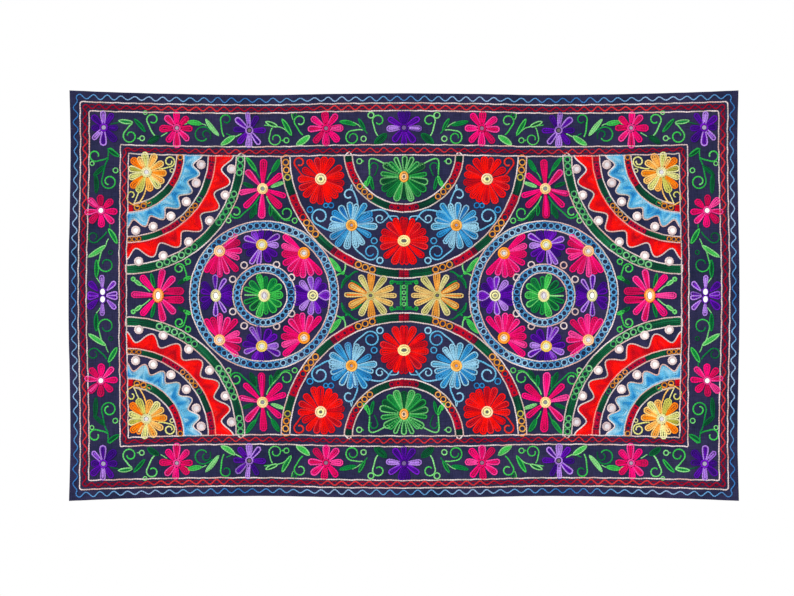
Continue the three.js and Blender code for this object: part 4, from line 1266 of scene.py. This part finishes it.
def build_reverse(name, works):
    """The reverse of the rows: one thin line of thread from stitch to stitch."""
    rng = np.random.default_rng(SEED + 5)
    cos, cols, tags, quads, fives, count = [], [], [], [], [], 0
    sec = np.array([(-1.0, -0.2), (0.0, 1.0), (1.0, -0.2)])
    for w in works:
        for x, z, base, closed in w.back:
            if closed:
                x, z, base = np.r_[x, x[:1]], np.r_[z, z[:1]], np.vstack([base, base[:1]])
            n = len(x)
            if n < 3:
                continue
            tx, tz = np.gradient(x), np.gradient(z)
            ln = np.hypot(tx, tz) + 1e-9
            nx, nz = -tz / ln, tx / ln
            wide = 0.62 * (1 + rng.normal(0, 0.12, n))
            px = x[:, None] + nx[:, None] * wide[:, None] * sec[:, 0]
            pz = z[:, None] + nz[:, None] * wide[:, None] * sec[:, 0]
            py = back_y(px, pz) + 0.62 * sec[:, 1] * (1 + rng.normal(0, 0.15, (n, 1)))
            cos.append(np.stack([px, py, pz], -1).reshape(-1, 3))
            # the reverse thread is drawn at 0.72 of its yarn's colour, and at 0.8 of that along its two edges as
            # painted shade
            cols.append(np.repeat(base * 0.72, 3, 0) * np.tile([0.8, 1.0, 0.8], n)[:, None])
            t = np.empty((n, 3, 3))
            t[..., 0], t[..., 1], t[..., 2] = (np.arange(n) % 2)[:, None], sec[:, 0] * 0.2 + 0.5, 0.5
            tags.append(t.reshape(-1, 3))
            i = np.arange(n - 1)
            j = i + 1
            for a, b in ((0, 1), (1, 2)):
                quads.append(np.stack([i * 3 + b, j * 3 + b, j * 3 + a, i * 3 + a], -1) + count)
            last = (n - 1) * 3
            fives.append(np.array([[2, 1, 0], [last, last + 1, last + 2]]) + count)
            count += n * 3
    ob = mesh_object(name, to_row(np.vstack(cos)), [np.vstack(quads), np.vstack(fives)], YARN)
    paint(ob, np.vstack(cols), np.vstack(tags))
    planar_map(ob)
    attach(ob, "root")
    return ob


def build_mirrors():
    """Small glass discs with a ground edge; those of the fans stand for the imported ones."""
    rng = np.random.default_rng(SEED + 9)
    groups = {}
    for (x, z), rx, rz, tint, owner in MIRRORS:
        groups.setdefault("fans" if owner.startswith("corner_fan") and rx > 5.45 else "flowers", []).append((x, z, rx, rz, tint))
    n = 22
    ang = np.linspace(0, 2 * math.pi, n, endpoint=False)
    out = []
    for group, items in groups.items():
        cos, quads, tops, dye = [], [], [], []
        for k, (x, z, rx, rz, tint) in enumerate(items):
            y = float(face_y(np.array(x), np.array(z)))
            tilt = rng.normal(0, 0.035, 2)
            rings = []
            for cut, h in ((0, -0.2 + 0.45), (0, 1.0), (0.35, 1.35)):
                px, pz = (rx - cut) * np.cos(ang), (rz - cut) * np.sin(ang)
                rings.append(np.stack([x + px, y - h - 0.05 - (px * tilt[0] + pz * tilt[1]), z + pz], -1))
            cos.append(np.vstack(rings))
            # each mirror's painted reflection tint, as its vertex colour
            dye.append(np.tile(np.array(tint), (3 * n, 1)))
            base = k * 3 * n
            i = np.arange(n)
            j = (i + 1) % n
            for a in (0, 1):
                quads.append(np.stack([base + a * n + i, base + a * n + j, base + (a + 1) * n + j, base + (a + 1) * n + i], -1))
            tops.append(base + 2 * n + i)
            tops.append(base + i[::-1])
        ob = mesh_object("mirrors_of_the_" + group, to_row(np.vstack(cos)), [np.vstack(quads), np.vstack(tops)], SILVER, smooth=False)
        paint(ob, np.vstack(dye), np.zeros((len(items) * 3 * n, 3)))
        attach(ob, "root")
        out.append(ob)
        if group == "fans":
            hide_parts(*[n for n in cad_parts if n.startswith("mirror_")])
    return out


# ---------------------------------------------------------------- camera first, then the pieces
cam_data = bpy.data.cameras.new("camera")
cam_data.sensor_width = 36.0
cam_data.lens = 85.0
camera = bpy.data.objects.new("camera", cam_data)
bpy.context.scene.collection.objects.link(camera)
bpy.context.scene.camera = camera
view_width = 794 * STEP / 1000.0
distance = view_width * cam_data.lens / cam_data.sensor_width
camera.location = ((397.0 - CENTRE[0]) * STEP / 1000.0, -distance - 0.004,
                   (CENTRE_Z - (298.0 - CENTRE[1]) * STEP) / 1000.0)
camera.rotation_euler = (math.pi / 2, 0.0, 0.0)
cam_data.clip_end = 100.0

cloth = build_cloth()
front = [build_work(w) for w in WORKS.values()]
names = list(WORKS)
rev_a = build_reverse("reverse_of_edging", [WORKS[n] for n in names if n.startswith(("edging", "border"))])
rev_b = build_reverse("reverse_of_field", [WORKS[n] for n in names if not n.startswith(("edging", "border"))])
glass = build_mirrors()

total = 0
for ob in [cloth, rev_a, rev_b] + front + glass:
    sizes = np.empty(len(ob.data.polygons), np.int32)
    ob.data.polygons.foreach_get("loop_total", sizes)
    tris = int((sizes - 2).sum())
    total += tris
    print("TRIS", ob.name, tris)
print("TRIS total", total, "mirrors", len(MIRRORS))

# ---------------------------------------------------------------- floor, light
floor_me = bpy.data.meshes.new("floor")
floor_me.from_pydata([(-2.6, -3.0, -1.52), (2.6, -3.0, -1.52), (2.6, 2.4, -1.52), (-2.6, 2.4, -1.52)], [], [(0, 1, 2, 3)])
floor = bpy.data.objects.new("floor", floor_me)
bpy.context.scene.collection.objects.link(floor)
fm, fnt, fb = new_material("pale_floor")
fb.inputs["Base Color"].default_value = (0.86, 0.86, 0.86, 1)
fb.inputs["Roughness"].default_value = 0.8
floor_me.materials.append(fm)

world = bpy.data.worlds.new("studio")
bpy.context.scene.world = world
world.use_nodes = True
bg = world.node_tree.nodes["Background"]
bg.inputs["Color"].default_value = (1.0, 1.0, 1.0, 1)
bg.inputs["Strength"].default_value = 1.0


def lamp(name, kind, place, size, power, aim):
    d = bpy.data.lights.new(name, kind)
    if kind == "SUN":
        d.angle = math.radians(size)
    else:
        d.size = size
    d.energy = power
    o = bpy.data.objects.new(name, d)
    bpy.context.scene.collection.objects.link(o)
    o.location = place
    dx, dy, dz = (aim[i] - place[i] for i in range(3))
    ln = math.sqrt(dx * dx + dy * dy + dz * dz)
    o.rotation_euler = (math.acos(-dz / ln), 0.0, math.atan2(dy, dx) - math.pi / 2)
    return o


lamp("key", "SUN", (-2.45, -2.0, 2.0), 11.0, 3.4, (0.0, 0.0, -0.45))
lamp("back_fill", "AREA", (2.4, 2.8, 1.6), 1.4, 130.0, (0.0, 0.0, -0.45))

scene = bpy.context.scene
scene.view_settings.view_transform = "Standard"
scene.view_settings.look = "None"
scene.view_settings.exposure = 0.0
